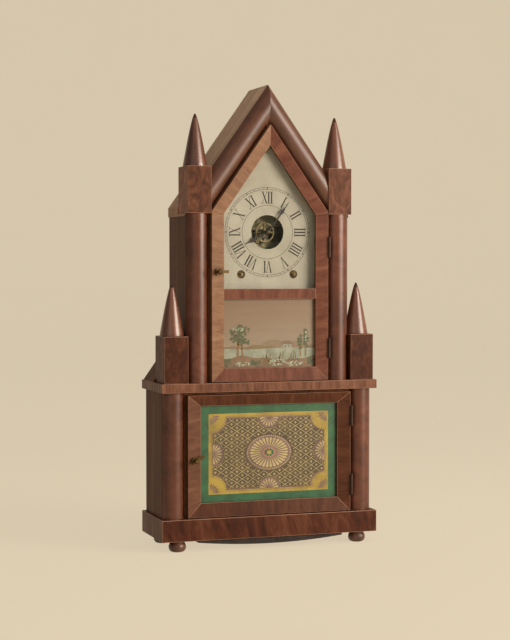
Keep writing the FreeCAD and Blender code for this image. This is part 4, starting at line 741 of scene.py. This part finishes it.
def makePlinth():
    low, high = plinthLow, plinthHigh
    shape = inMetres(plinthShape)
    inner = high.x - shape["side"]
    front = low.y + shape["front"]
    bm = bmesh.new()
    corners = (((low.x, high.y), (-inner, high.y)), ((low.x, low.y), (-inner, front)),
               ((high.x, low.y), (inner, front)), ((high.x, high.y), (inner, high.y)))
    skin(bm, [[(*place, up) for place, up in
               ((outside, low.z), (outside, high.z), (inside, high.z), (inside, low.z))]
              for outside, inside in corners])
    brick(bm, (-inner, high.y - shape["rail"], low.z), (inner, high.y, high.z - shape["floor"]))
    piece = makePiece("plinthBoards", bm, "plinth", "case", "plinth_boards")
    softened(piece, plinthShape["edge"], wearHighlight="wearHighlightEdge")


makePlinth()


# spires and feet, turned; profiles are (radius, height)
spireShape = {"foot": 18.0, "rim": 1.6, "chamfer": 0.4, "belly": 0.8, "tip": 1.5, "steps": 14,
              "cap": [(1.2, -0.7), (0.7, -0.2), (0, 0)], "capHeight": 1.3, "sides": 56,
              "darkFrom": 0.93}
footShape = {"radius": 13.0, "sides": 40,
             "profile": [(0, 0), (7.4, 0), (9.2, 0.5), (10.8, 1.6), (12.1, 3.4), (12.8, 5.4),
                         (13.0, 7.4), (12.8, 9.4), (12.1, 11.4), (11.0, 13.0), (10.3, 13.7),
                         (10.2, 14.1), (11.4, 14.4), (12.0, 14.9), (12.0, 16.2), (0, 16.2)]}


def makeSpires(name, node):
    low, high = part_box(node)
    height = (high.z - low.z) / mm
    shape = spireShape
    foot, rim, tip = shape["foot"], shape["rim"], shape["tip"]
    profile = [(0, 0), (foot - shape["chamfer"], 0), (foot, shape["chamfer"]), (foot, rim)]
    for step in range(1, shape["steps"] + 1):
        share = step / shape["steps"]
        profile.append((tip + (foot - tip) * (1 - share) ** shape["belly"],
                        rim + (height - rim - shape["capHeight"]) * share))
    profile += [(radius, height + drop) for radius, drop in shape["cap"]]
    across, depth = high.x - foot * mm, (low.y + high.y) / 2
    piece = turned(name, profile, [(across, depth, low.z), (-across, depth, low.z)],
                   shape["sides"], ("spire", "spireTip"), "case", node, "z",
                   turnedAngle)
    dark = low.z + (high.z - low.z) * shape["darkFrom"]
    for face in piece.data.polygons:
        if face.center.z > dark:
            face.material_index = 1


def makeFeet():
    low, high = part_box("bun_feet")
    radius = footShape["radius"] * mm
    spots = [(side * (high.x - radius), depth, 0) for side in (1, -1)
             for depth in (low.y + radius, high.y - radius)]
    turned("bunFeet", footShape["profile"], spots, footShape["sides"], "foot", "case",
           "bun_feet", "z", turnedAngle)


makeSpires("lowerSpires", "lower_spires")
makeSpires("upperSpires", "upper_spires")
makeFeet()
print("turnings made")


# door frames: each member is its own board, mitred to the next
doorShape = {"lap": 4.0, "edge": 0.55, "lowerDip": 3.2, "upperDip": 1.92, "upperStile": 19.5,
             "upperRake": 17.9, "upperBottom": 20.0, "midRail": 15.3, "midDrop": 3.7,
             "lowerStile": 20.5, "lowerTop": 16.0, "lowerBottom": 21.0}


def doorBoard(name, rings, finish, body, node=None):
    bm = bmesh.new()
    skin(bm, rings)
    piece = makePiece(name, bm, finish, body, node)
    softened(piece, doorShape["edge"], wearHighlight="wearHighlightEdge")


def makeDoor(body, node, loops, depths, members):
    # loops are the outer, inner and rebate outlines, and a member runs from corner to corner
    order = ((0, 0), (1, 1), (1, 2), (2, 2), (2, 3), (0, 3))  # loop and depth of each edge
    for index, (name, kind, grain) in enumerate(members):
        rings = [[(loops[which][corner][0], depths[deep], loops[which][corner][1])
                  for which, deep in order] for corner in (index, (index + 1) % len(members))]
        doorBoard(name, rings, doorWood(kind, name, grain), body, node if index == 0 else None)


def makeLowerDoor():
    shape = inMetres(doorShape)
    low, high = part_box("lower_door_frame")
    half, lap = high.x, shape["lap"]
    inner = half - shape["lowerStile"]
    foot = low.z + shape["lowerBottom"]
    head = high.z - shape["lowerTop"]
    loops = [rectangle((-half, low.z), (half, high.z)), rectangle((-inner, foot), (inner, head)),
             rectangle((-inner - lap, foot - lap), (inner + lap, head + lap))]
    depths = (low.y, low.y + shape["lowerDip"], tabletLow.y, high.y)
    makeDoor("lower_door", "lower_door_frame", loops, depths,
             (("lowerDoorBottom", "doorDark", grainUp),
              ("lowerDoorRight", "doorDark", grainAcross),
              ("lowerDoorTop", "doorDark", grainUp),
              ("lowerDoorLeft", "doorMid", grainAlong(12))))


def gableOutline(half, foot, apex):
    shoulder = apex - slopeRate * half
    return [(-half, foot), (half, foot), (half, shoulder), (0, apex), (-half, shoulder)]


def makeUpperDoor():
    shape = inMetres(doorShape)
    low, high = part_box("upper_door_frame")
    lap = shape["lap"]
    inner = high.x - shape["upperStile"]
    foot = low.z + shape["upperBottom"]
    apex = high.z - shape["upperRake"] * rake
    loops = [gableOutline(high.x, low.z, high.z), gableOutline(inner, foot, apex),
             gableOutline(inner + lap, foot - lap, apex + lap * rake)]
    front = low.y + shape["upperDip"]
    makeDoor("upper_door", "upper_door_frame", loops, (low.y, front, paneLow.y, high.y),
             (("upperDoorBottom", "doorRed", grainUp),
              ("upperDoorRight", "doorRed", grainAlong(8)),
              ("upperDoorRakeRight", "doorRed", grainAlong(90 - roofPitch)),
              ("upperDoorRakeLeft", "doorLight", grainAlong(90 + roofPitch)),
              ("upperDoorLeft", "doorLight", grainAlong(-6))))
    # middle rail between the dial and the picture
    railLow = paneHigh.z - shape["midDrop"]
    railHigh = railLow + shape["midRail"]
    profile = [(front, railLow), (paneLow.y, railLow), (paneLow.y, railLow + lap),
               (high.y, railLow + lap), (high.y, railHigh - lap), (paneLow.y, railHigh - lap),
               (paneLow.y, railHigh), (front, railHigh)]
    rings = [[(side, depth, up) for depth, up in profile] for side in (-inner, inner)]
    doorBoard("upperDoorMiddle", rings, doorWood("doorRed", "middle", grainUp), "upper_door")


makeLowerDoor()
makeUpperDoor()
print("doors made")


# dial: circles by radius, letters by their height above the centre
dialArt = {"circles": (67.0, 64.0, 40.0), "line": 0.5, "foot": 43.0, "head": 60.6, "stem": 1.9,
           "thin": 0.6, "serif": 4.6, "wide": 8.2, "step": 4.5, "letterGap": 0.5,
           "point": ((-0.5, 0.6), (-0.2, 0.5)),  # from where to where the strokes of a V end
           "raise": 0.12, "sink": 0.05, "dot": 0.5, "largeDot": 0.95,
           "ringSides": 120, "dotSides": 10, "eyeSides": 36, "pinSides": 16,
           "arborSpread": 41.5, "arborDrop": 63.0,
           "eye": [(4.9, 0.6), (4.5, -0.2), (4.9, -0.6), (5.9, -0.6), (6.3, -0.1), (6.3, 0.0)],
           "pin": [(0, -0.8), (0.7, -0.6), (1.0, -0.2), (1.0, 0.1), (0, 0.1)],
           "pinSide": 74.5, "pinMiddle": 508.0, "pinFoot": 18.0, "pinHead": 9.0}
hours = ("XII", "I", "II", "III", "IIII", "V", "VI", "VII", "VIII", "IX", "X", "XI")


def fromHub(turn, along, across):
    # a spot on the dial, in millimetres along a direction and across it
    side, up = math.sin(turn), math.cos(turn)
    return ((along * side + across * up) * mm, hubUp + (along * up - across * side) * mm)


def letterStrokes(letter, middle):
    art = dialArt
    stem, thin, serif, half = art["stem"], art["thin"], art["serif"], art["wide"] / 2
    high = art["head"] - art["foot"]
    tops, feet = [stem / 2 - half, half - thin / 2], []
    if letter == "I":
        strokes = [rectangle((-stem / 2, 0), (stem / 2, high))]
        tops, feet = [0], [0]
    elif letter == "V":
        (left, right), (thinLeft, thinRight) = art["point"]
        strokes = [[(-half, high), (left, 0), (right, 0), (stem - half, high)],
                   [(half - thin, high), (thinLeft, 0), (thinRight, 0), (half, high)]]
    else:
        strokes = [[(-half, high), (half - stem, 0), (half, 0), (stem - half, high)],
                   [(half - thin, high), (-half, 0), (thin - half, 0), (half, high)]]
        feet = [half - stem / 2, thin / 2 - half]
    for level, places in ((high - thin, tops), (0, feet)):
        strokes += [rectangle((place - serif / 2, level), (place + serif / 2, level + thin))
                    for place in places]
    return [[(middle + across, up) for across, up in stroke] for stroke in strokes]


def makeDialArt():
    art = dialArt
    near, far = dialLow.y - art["raise"] * mm, dialLow.y + art["sink"] * mm
    bm = bmesh.new()
    for hour, numeral in enumerate(hours):
        widths = [art["step"] if letter == "I" else art["wide"] + art["letterGap"]
                  for letter in numeral]
        start = -sum(widths) / 2
        for letter, width in zip(numeral, widths):
            for stroke in letterStrokes(letter, start + width / 2):
                slab(bm, [fromHub(math.radians(30 * hour), art["foot"] + up, across)
                          for across, up in stroke], near, far)
            start += width
    makePiece("dialNumerals", bm, "numeralPaint", "case")
    bm = bmesh.new()
    for radius in art["circles"]:
        band(bm, (0, hubUp), (radius - art["line"] / 2) * mm, (radius + art["line"] / 2) * mm,
             near, far, art["ringSides"])
    middle = (art["circles"][0] + art["circles"][1]) / 2
    for minute in range(60):
        spot = fromHub(math.radians(6 * minute), middle, 0)
        size = art["dot"] if minute % 5 else art["largeDot"]
        slab(bm, disc(spot, size * mm, art["dotSides"]), near, far)
    makePiece("dialRings", bm, "numeralPaint", "case")


def makeDialBrass():
    # eyes in the winding holes, and the pins that hold the dial
    art = dialArt
    eyesUp = hubUp - art["arborDrop"] * mm
    turned("windingEyes", art["eye"], [(side * art["arborSpread"] * mm, dialLow.y, eyesUp)
                                       for side in (1, -1)],
           art["eyeSides"], "agedBrass", "case")
    pins = [(0, dialLow.y, dialHigh.z - art["pinHead"] * mm)]
    pins += [(side * art["pinSide"] * mm, dialLow.y, up) for side in (1, -1)
             for up in (dialLow.z + art["pinFoot"] * mm, art["pinMiddle"] * mm)]
    turned("dialPins", art["pin"], pins, art["pinSides"], "screwHead", "case")


makeDialArt()
makeDialBrass()
print("dial drawn")


# hands: half outlines as (distance from the hub, half width), turned from twelve
handShapes = {
    "minute": {"node": "minute_hand", "body": "minute_work", "turn": 36.0,
               "boss": [(0, -0.1), (3.1, -0.1), (3.6, 0.1), (3.6, 0.6), (0, 0.6)],
               "half": [(-13.0, 0.5), (-11.0, 1.5), (-8.5, 0.9), (0, 1.6), (33.5, 1.1),
                        (35.0, 2.4), (36.6, 0.9), (37.0, 3.2), (39.2, 3.2), (39.6, 0.9),
                        (41.2, 2.4), (42.7, 1.0), (55.0, 0.4)]},
    "hour": {"node": "hour_hand", "body": "hour_work", "turn": 243.0,
             "boss": [(0, -0.1), (3.7, -0.1), (4.2, 0.1), (4.2, 0.6), (0, 0.6)],
             "half": [(0, 1.6), (19.5, 1.0), (21.5, 3.0), (23.4, 1.2), (23.9, 4.2), (26.7, 4.2),
                      (27.2, 1.2), (29.1, 3.0), (31.0, 0.9), (40.0, 0.35)]},
}
handLook = {"inset": 0.05, "edge": 0.12, "sides": 32}
colletShape = {"profile": [(0, -0.75), (1.3, -0.7), (2.1, -0.35), (2.3, 0), (2.3, 0.2), (0, 0.2)],
               "proud": 0.1, "sides": 24}


def makeHand(name, shape):
    low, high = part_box(shape["node"])
    points = shape["half"] + [(along, -width) for along, width in reversed(shape["half"])]
    inset = handLook["inset"] * mm
    bm = bmesh.new()
    slab(bm, [fromHub(math.radians(shape["turn"]), along, width) for along, width in points],
         low.y + inset, high.y - inset)
    lathe(bm, shape["boss"], (0, low.y, hubUp), handLook["sides"], "y")
    hand = makePiece(name + "HandBlade", bm, "handSteel", shape["body"],
                     shape["node"])
    softened(hand, handLook["edge"], 1)


for name, shape in handShapes.items():
    makeHand(name, shape)
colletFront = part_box("minute_hand")[0].y - colletShape["proud"] * mm
turned("handCollet", colletShape["profile"], [(0, colletFront, hubUp)], colletShape["sides"],
       "agedBrass", "minute_work")
print("hands made")


# movement plates, pierced as the real ones are, so that the wheels show
plateShape = {"thick": 2.0, "corner": 3.0, "windowCorner": 4.0, "edge": 0.25,
              "windows": [((9, 458), (66, 481)), ((-66, 458), (-9, 476)), ((31, 490), (67, 519)),
                          ((-38, 486), (-9, 512)), ((-67, 480), (-54, 519)),
                          ((-23, 404), (23, 438)), ((52, 419), (70, 442)),
                          ((-70, 419), (-52, 442)), ((8, 380), (66, 398)),
                          ((-50, 380), (-8, 398))],
              "pivots": [(31.8, 447.9), (-31.8, 447.9), (21.3, 491.0), (0, 502), (0, 518),
                         (-45.5, 485.5), (-60, 376)],
              "pivot": (1.5, 2.8, -0.3, 0.2),  # inner and outer radius, front and back
              "nuts": [(74, 378), (-74, 378), (74, 522), (-74, 522)],
              "nut": [(0, -2.4), (2.2, -2.4), (2.2, -2.0), (4.0, -2.0), (4.0, 0.1), (0, 0.1)],
              "nutEdge": 0.2, "nutSides": 6, "ringSides": 24}


def makePlates():
    shape = plateShape
    low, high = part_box("movement_plates")
    thick = shape["thick"] * mm
    windows = [roundedBox(*scaled(window), shape["windowCorner"] * mm)
               for window in shape["windows"]]
    outline = roundedBox((low.x, low.z), (high.x, high.z), shape["corner"] * mm)
    for name, near, node in (("movementPlateFront", low.y, "movement_plates"),
                             ("movementPlateBack", high.y - thick, None)):
        bm = bmesh.new()
        holedSlab(bm, outline, windows, near, near + thick)
        softened(makePiece(name, bm, "plateBrass", "case", node), shape["edge"], 1)
    bm = bmesh.new()
    inner, outer, front, back = (value * mm for value in shape["pivot"])
    for spot in scaled(shape["pivots"]):
        band(bm, spot, inner, outer, low.y + front, low.y + back, shape["ringSides"])
    makePiece("pivotRings", bm, "wheelBrass", "case")
    nuts = [(across, low.y, up) for across, up in scaled(shape["nuts"])]
    softened(turned("plateNuts", shape["nut"], nuts, shape["nutSides"], "arborSteel", "case",
                    angle=None), shape["nutEdge"], 1)


makePlates()
print("plates made")


# paint on glass, in layers that lie a little in front of each other
paintCoat = {"step": 0.05, "thick": 0.03, "glassEdge": 0.15}


def layerFront(front, layer):
    return front - paintCoat["step"] * mm * (layer + 1)


def paintOn(glass, name, finish, strokes, bm=None):
    # glass is (body, front face); a stroke is (layer, outline), sometimes with its thickness
    body, front = glass
    if bm is None:
        bm = bmesh.new()
    for layer, outline, *own in strokes:
        near = layerFront(front, layer)
        thick = own[0] if own else paintCoat["thick"]
        slab(bm, scaled(outline), near, near + thick * mm)
    makePiece(name, bm, finish, body)


def makePane(name, finish, body, node):
    bm = bmesh.new()
    brick(bm, *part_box(node))
    softened(makePiece(name, bm, finish, body, node), paintCoat["glassEdge"], 1)


# picture glass: a plain lake view; hills are (height, waves), a wave is (size, rate, shift)
pictureArt = {
    "seed": 7, "left": -73.5, "right": 73.5, "foot": 267.5, "step": 3.0,
    "farHills": (305, ((5.0, 0.045, 0.6), (2.4, 0.12, 1.4))),
    "nearHills": (299.5, ((3.6, 0.062, 2.6), (1.0, 0.21, 0.4))),
    "ground": (283.5, ((3.4, 0.05, 3.6), (1.3, 0.16, 2.0))),
    "lake": [(-73.5, 281), (73.5, 281), (73.5, 297.5), (24, 299), (-30, 297), (-73.5, 298.5)],
    "walls": [((22, 298), (36, 304.5)), ((32.6, 304), (34.6, 311))],
    "roof": [(20.6, 304), (37.4, 304), (34.2, 309.4), (23.8, 309.4)],
    "windows": [((25, 299.6), (27.2, 302.6)), ((30, 299.6), (32.2, 302.6))],
    # across, up, lean, length and width of each trunk
    "trunks": ((-50, 282, 0.10, 46, 1.5), (-41, 281, -0.16, 34, 1.1), (58, 286, 0.03, 40, 1.0),
               (50, 286, -0.05, 31, 0.9)),
    "bend": (0.5, 0.55, 0.8),  # shares of lean, length and width where a blade bends
    "forks": (0.45, 0.62, 0.78),  # where a trunk branches
    "twig": (0.75, 0.3, 1.2, 0.4),  # lean, share of length, where that ends, share of width
    # how many, and between what values across, up, lean, length and width lie
    "reeds": (46, (-8, 44), (272, 283), (-0.75, 0.75), (8, 19), (0.2, 0.4)),
    "leafSize": (1.0, 2.3), "blossomSize": (0.7, 1.7), "leafSides": 9, "leafSquash": (0.6, 1.0),
    "gather": 0.6, "leafThick": 0.02, "leafLift": 0.0004,
    # middle, reach and number of leaves of each clump
    "leaves": (((-46, 324), (15, 9), 70), ((-55, 313), (9, 7), 30), ((-39, 309), (8, 6), 26),
               ((59, 312), (4.2, 15), 44), ((49, 307), (3.6, 11), 32), ((-22, 277), (10, 4), 26),
               ((66, 279), (7, 5), 22), ((-66, 278), (8, 6), 26)),
    "blossom": (((12, 277), (14, 5), 34), ((40, 275), (15, 4), 34), ((-42, 275), (12, 3.5), 26),
                ((-49, 327), (8, 4), 12), ((59, 317), (2, 8), 8)),
}


def hillLine(base, waves):
    art = pictureArt
    count = round((art["right"] - art["left"]) / art["step"])
    points = []
    for number in range(count + 1):
        across = art["left"] + art["step"] * number
        points.append((across, base + sum(size * math.sin(rate * across + shift)
                                          for size, rate, shift in waves)))
    return [(art["left"], art["foot"]), *points, (art["right"], art["foot"])]


def clumps(rng, places, sizes, layer):
    # leaves: overlapping spots, thickest in the middle
    art = pictureArt
    strokes = []
    for middle, reach, count in places:
        for number in range(count):
            turn = rng.uniform(0, 2 * math.pi)
            out = rng.uniform(0, 1) ** art["gather"]
            spot = around(middle, reach[0] * out, turn, reach[1] / reach[0])
            lift = art["leafLift"] * number
            outline = disc(spot, rng.uniform(*sizes), art["leafSides"],
                           rng.uniform(*art["leafSquash"]))
            strokes.append((layer + lift / paintCoat["step"], outline, art["leafThick"] + lift))
    return strokes


def leaning(start, lean, length):
    return moved(start, (math.sin(lean), math.cos(lean)), length)


def blade(start, lean, length, width):
    early, along, narrow = pictureArt["bend"]
    bend = leaning(start, lean * early, length * along)
    return [moved(start, (width, 0), -1), moved(start, (width, 0), 1),
            moved(bend, (width, 0), narrow), leaning(start, lean, length),
            moved(bend, (width, 0), -narrow)]


def makePicture():
    art = pictureArt
    rng = random.Random(art["seed"])
    glass = ("upper_door", paneLow.y)
    makePane("pictureSky", "skyPaint", "upper_door", "picture_tablet")
    # from the back: hills, lake, a cottage on the far bank with its roof, and the ground
    layers = (("pictureFarHills", "farHill", [hillLine(*art["farHills"])]),
              ("pictureNearHills", "nearHill", [hillLine(*art["nearHills"])]),
              ("pictureLake", "lakePaint", [art["lake"]]),
              ("pictureCottage", "lakePaint", [rectangle(*wall) for wall in art["walls"]]),
              ("pictureRoof", "groundPaint",
               [art["roof"]] + [rectangle(*window) for window in art["windows"]]),
              ("pictureGround", "groundPaint", [hillLine(*art["ground"])]))
    for layer, (name, finish, outlines) in enumerate(layers):
        paintOn(glass, name, finish, [(layer, outline) for outline in outlines])
    # trees and reeds
    twigs = []
    spread, part, longest, thin = art["twig"]
    for across, up, lean, length, width in art["trunks"]:
        twigs.append((6, blade((across, up), lean, length, width)))
        twigs += [(6, blade(leaning((across, up), lean, length * share), side * spread + lean,
                            length * part * (longest - share), width * thin))
                  for side in (-1, 1) for share in art["forks"]]
    count, *ranges = art["reeds"]
    for number in range(count):
        across, up, lean, length, width = (rng.uniform(*ends) for ends in ranges)
        twigs.append((8, blade((across, up), lean, length, width)))
    paintOn(glass, "pictureTwigs", "reedPaint", twigs)
    paintOn(glass, "pictureLeaves", "leafPaint", clumps(rng, art["leaves"], art["leafSize"], 7))
    paintOn(glass, "pictureBlossom", "paleLeaf",
            clumps(rng, art["blossom"], art["blossomSize"], 9))


makePicture()
print("picture painted")


# lower glass: green border, gilt field and a stencilled figure in other shapes
tabletArt = {
    "middle": (0, 142.0), "field": (95.0, 60.0), "panel": (89.0, 54.0), "bite": 22.0,
    "trellis": 9.2, "slant": 33.0, "line": 0.34, "margin": 2.0, "shortest": 2.0,
    "flowerMargin": 3.6, "petalOut": 1.1, "petal": 0.75, "meshes": 12,
    "bead": 0.85, "beadStep": 3.4, "beadOut": 1.6, "rim": (0.6, 1.7),
    "cornerInset": 2.2, "leafTurns": (9, 27, 45, 63, 81),
    "cornerLeaf": (4.0, 11.625, 15.5, 1.5),  # its start, widest place, end and half width
    "oval": (36.0, 0.74), "ovalBeads": (2.0, 3.3, 0.95), "flutes": 30,
    "flute": ((0.34, 0.2), (0.64, 0.8), (0.8, 1.0), (0.86, 0.0)), "fluteWidth": 0.075,
    "fan": 17.0, "fanSteps": 24, "fanBeads": (19, 0.7), "rays": 9, "raySpread": 80,
    "ray": ((0.25, 0), (0.78, 0.09), (0.9, 0), (0.78, -0.09)),
    "rosette": (8, 5.8, 1.9), "heart": 0.3, "eye": 3.0,
    "dotSides": 8, "ovalSides": 72, "heartSides": 40, "rosetteSides": 12, "eyeSides": 20,
}


def panelOutline(shrink=0.0, steps=10):
    # a rectangle whose corners are bitten out by quarter circles
    art = tabletArt
    wide, high = art["panel"][0] - shrink, art["panel"][1] - shrink
    points = []
    for across, up, start in ((wide, high, 270), (-wide, high, 360), (-wide, -high, 90),
                              (wide, -high, 180)):
        corner = moved(art["middle"], (across, up), 1)
        points += [around(corner, art["bite"], math.radians(start - 90 * step / steps))
                   for step in range(steps + 1)]
    return points


def insidePanel(across, up, margin):
    # clear of the panel's edge, the bitten corners, the half fans and the medallion
    art = tabletArt
    side, rise = abs(across - art["middle"][0]), abs(up - art["middle"][1])
    wide, high = art["panel"]
    radius, squash = art["oval"]
    return (side <= wide - margin and rise <= high - margin
            and math.hypot(side - wide, rise - high) >= art["bite"] + margin
            and math.hypot(side, rise - high) >= art["fan"] + margin
            and math.hypot(side - wide, rise) >= art["fan"] + margin
            and math.hypot(side, rise / squash) > radius + margin)


def trellisLines(slant, layer):
    # slanting lines cut off by the panel and the medallion
    art = tabletArt
    forward, beside = (math.cos(slant), math.sin(slant)), (-math.sin(slant), math.cos(slant))
    reach = math.hypot(*art["panel"])
    count = int(reach / art["trellis"])
    steps = int(2 * reach)
    strokes = []
    for number in range(-count, count + 1):
        base = moved(art["middle"], beside, number * art["trellis"])
        run = None
        for step in range(steps + 2):
            spot = moved(base, forward, step - reach)
            fits = step <= steps and insidePanel(*spot, art["margin"])
            if fits and run is None:
                run = spot
            if not fits and run is not None:
                end = moved(spot, forward, -1)
                if math.dist(run, end) > art["shortest"]:
                    strokes.append((layer, [
                        moved(place, beside, side * art["line"]) for place, side in
                        ((run, -1), (end, -1), (end, 1), (run, 1))]))
                run = None
    return strokes


def flowers(layer):
    # a small flower in every second mesh of the trellis
    art = tabletArt
    slant = math.radians(art["slant"])
    across = art["trellis"] / (2 * math.sin(slant))
    up = art["trellis"] / (2 * math.cos(slant))
    strokes = []
    meshes = range(-art["meshes"], art["meshes"] + 1)
    for row in meshes:
        for column in meshes:
            spot = moved(art["middle"], (column * across, row * up), 1)
            if (row + column) % 2 and insidePanel(*spot, art["flowerMargin"]):
                strokes += [(layer, disc(around(spot, art["petalOut"], math.pi / 2 * petal),
                                         art["petal"], art["dotSides"]))
                            for petal in range(4)]
    return strokes


def beads(points, step, size, layer):
    # evenly spaced dots along a closed line
    strokes, left = [], 0.0
    for first, second in zip(points, points[1:] + points[:1]):
        length = math.dist(first, second)
        while left < length:
            spot = moved(first, (second[0] - first[0], second[1] - first[1]), left / length)
            strokes.append((layer, disc(spot, size, tabletArt["dotSides"])))
            left += step
        left -= length
    return strokes


def cornerLeaves(layer):
    # fans in the gilt corners
    art = tabletArt
    start, widest, end, half = art["cornerLeaf"]
    wide, high = (value - art["cornerInset"] for value in art["field"])
    strokes = []
    for sideways, upwards in ((1, 1), (1, -1), (-1, 1), (-1, -1)):
        corner = moved(art["middle"], (sideways * wide, upwards * high), 1)
        for turn in map(math.radians, art["leafTurns"]):
            inward = (-sideways * math.cos(turn), -upwards * math.sin(turn))
            beside = (sideways * math.sin(turn), -upwards * math.cos(turn))
            middle = moved(corner, inward, widest)
            strokes.append((layer, [moved(corner, inward, start), moved(middle, beside, half),
                                    moved(corner, inward, end), moved(middle, beside, -half)]))
    return strokes


def sweep(facing, spread, steps):
    # even turns to both sides of a direction
    return [math.radians(facing + spread * (2 * step / steps - 1)) for step in range(steps + 1)]


def halfFans(layer):
    # half discs at the middle of each side of the panel, with rays and beads on them
    art = tabletArt
    wide, high = art["panel"]
    fans, gilding = [], []
    for across, up, facing in ((0, high, 270), (0, -high, 90), (wide, 0, 180), (-wide, 0, 0)):
        spot = moved(art["middle"], (across, up), 1)
        fans.append((layer, [around(spot, art["fan"], turn)
                             for turn in sweep(facing, 90, art["fanSteps"])]))
        for turn in sweep(facing, art["raySpread"], art["rays"] - 1):
            gilding.append((layer + 1, [around(spot, art["fan"] * reach, turn + bend)
                                        for reach, bend in art["ray"]]))
        count, size = art["fanBeads"]
        gilding += [(layer, disc(around(spot, art["fan"] + art["beadOut"], turn), size,
                                 art["dotSides"])) for turn in sweep(facing, 90, count - 1)]
    return fans, gilding


def makeTablet():
    art = tabletArt
    centre = art["middle"]
    radius, squash = art["oval"]
    glass = ("lower_door", tabletLow.y)
    slant = math.radians(art["slant"])
    makePane("tabletBorder", "greenPaint", "lower_door", "lower_tablet")
    field = rectangle(moved(centre, art["field"], -1), moved(centre, art["field"], 1))
    paintOn(glass, "tabletField", "goldPaint", [(0, field)])
    paintOn(glass, "tabletPanel", "lacePaint", [(1, panelOutline())])
    paintOn(glass, "tabletTrellis", "paleGold", trellisLines(slant, 2) + trellisLines(-slant, 3))
    paintOn(glass, "tabletFlowers", "paleGold", flowers(4))
    rim = bmesh.new()
    outer, inner = (scaled(panelOutline(shrink)) for shrink in art["rim"])
    near = layerFront(tabletLow.y, 5)
    holedSlab(rim, outer, [inner], near, near + paintCoat["thick"] * mm)
    dots = beads(panelOutline(-art["beadOut"]), art["beadStep"], art["bead"], 3)
    paintOn(glass, "tabletBeads", "mauvePaint", dots + cornerLeaves(3), rim)
    # medallion and half fans
    sides = art["ovalSides"]
    paintOn(glass, "tabletMedallion", "mauvePaint", [(5, disc(centre, radius, sides, squash))])
    inset, step, size = art["ovalBeads"]
    gilding = beads(disc(centre, radius - inset, sides, squash), step, size, 6)
    flute = art["flute"] + tuple((share, -width) for share, width in art["flute"][-2::-1])
    for number in range(art["flutes"]):
        turn = 2 * math.pi * number / art["flutes"]
        gilding.append((6, [around(centre, radius * share, turn + art["fluteWidth"] * width,
                                   squash) for share, width in flute]))
    fans, rays = halfFans(6)
    paintOn(glass, "tabletFans", "mauvePaint", fans)
    paintOn(glass, "tabletFlutes", "paleGold", gilding + rays)
    heart = disc(centre, radius * art["heart"], art["heartSides"], squash)
    paintOn(glass, "tabletHeart", "rosePaint", [(7, heart)])
    count, out, size = art["rosette"]
    spots = [around(centre, out, 2 * math.pi * (number + 0.5) / count, squash)
             for number in range(count)]
    paintOn(glass, "tabletRosette", "greenPaint",
            [(8, disc(spot, size, art["rosetteSides"])) for spot in spots])
    paintOn(glass, "tabletEye", "goldPaint", [(9, disc(centre, art["eye"], art["eyeSides"]))])


makeTablet()
print("tablet painted")


# drive cords: three strands laid together, from each lever up to its drum
cordShape = {"radius": 1.0, "strands": 3, "groove": 0.26, "lay": 9.0, "step": 2.5, "sides": 12,
             "bendFrom": 34.0}  # height above the lever at which the cord starts to bend


def makeCord(name, sign, node=None):
    shape = cordShape
    low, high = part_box("drive_cords")
    across = sign * (high.x - shape["radius"] * mm)
    depth = (low.y + high.y) / 2
    rows = int((high.z - low.z) / (shape["step"] * mm))
    bm = bmesh.new()
    rings = []
    for row in range(rows + 1):
        up = low.z + (high.z - low.z) * row / rows
        ring = []
        for side in range(shape["sides"]):
            turn = 2 * math.pi * side / shape["sides"]
            strand = abs(math.cos(shape["strands"] / 2 * turn
                                  + math.pi * up / (shape["lay"] * mm)))
            radius = shape["radius"] * mm * (1 - shape["groove"] * (1 - strand))
            ring.append((*around((across, depth), radius, turn), up))
        rings.append(ring)
    skin(bm, rings)
    cord = smoothed(makeObject(name, bm, [finishes["cordFinish"]]))
    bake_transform(cord)
    if node:
        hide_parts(node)


makeCord("timeCord", 1, "drive_cords")
makeCord("strikeCord", -1)


# shorter leaves stacked on the bow, up to the plinth
bowLeaves = {"count": 4, "sag": 6.6, "inset": 0.8, "play": 0.1, "short": 3.5, "gap": 0.05,
             "steps": 40}


def makeBowLeaves():
    shape = inMetres(bowLeaves)
    count, steps = bowLeaves["count"], bowLeaves["steps"]
    low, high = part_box("spring_bow")
    foot = plinthLow.z
    half = (high.x - low.x) / 2
    sag, play = shape["sag"], shape["play"]
    thick = sag / count
    bm = bmesh.new()
    for leaf in range(count):
        # the leaf ends where its lower side meets the plinth
        reach = half * math.sqrt(1 - leaf / count) - shape["short"]
        lower, upper = [], []
        for step in range(steps + 1):
            across = reach * (2 * step / steps - 1)
            base = foot - sag * (1 - (across / half) ** 2) + leaf * thick
            lower.append((across, base + play))
            upper.append((across, max(min(base + thick, foot - shape["gap"]), base + 2 * play)))
        slab(bm, lower + upper[::-1], low.y + shape["inset"], high.y - shape["inset"])
    makePiece("bowLeaves", bm, "springSteel", "case")


# nails in the back boards
nailShape = {"profile": [(0, 0.6), (1.0, 0.5), (1.5, 0.2), (1.5, -0.1), (0, -0.1)], "sides": 12,
             "upperSide": 112, "upperRows": (262, 300, 345, 390, 435, 480),
             "lowerSide": 149, "lowerRows": (58, 100, 142, 184, 226),
             "across": (-80, 0, 80), "acrossRows": (230, 54)}


def makeNails():
    shape = nailShape
    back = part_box("back_boards")[1].y
    spots = [(across, up) for up in shape["acrossRows"] for across in shape["across"]]
    for side in (1, -1):
        for deck in ("upper", "lower"):
            spots += [(side * shape[deck + "Side"], up) for up in shape[deck + "Rows"]]
    turned("backNails", shape["profile"], [(across, back, up) for across, up in scaled(spots)],
           shape["sides"], "blackIron", "case")


makeBowLeaves()
makeNails()
print("cords and nails made")
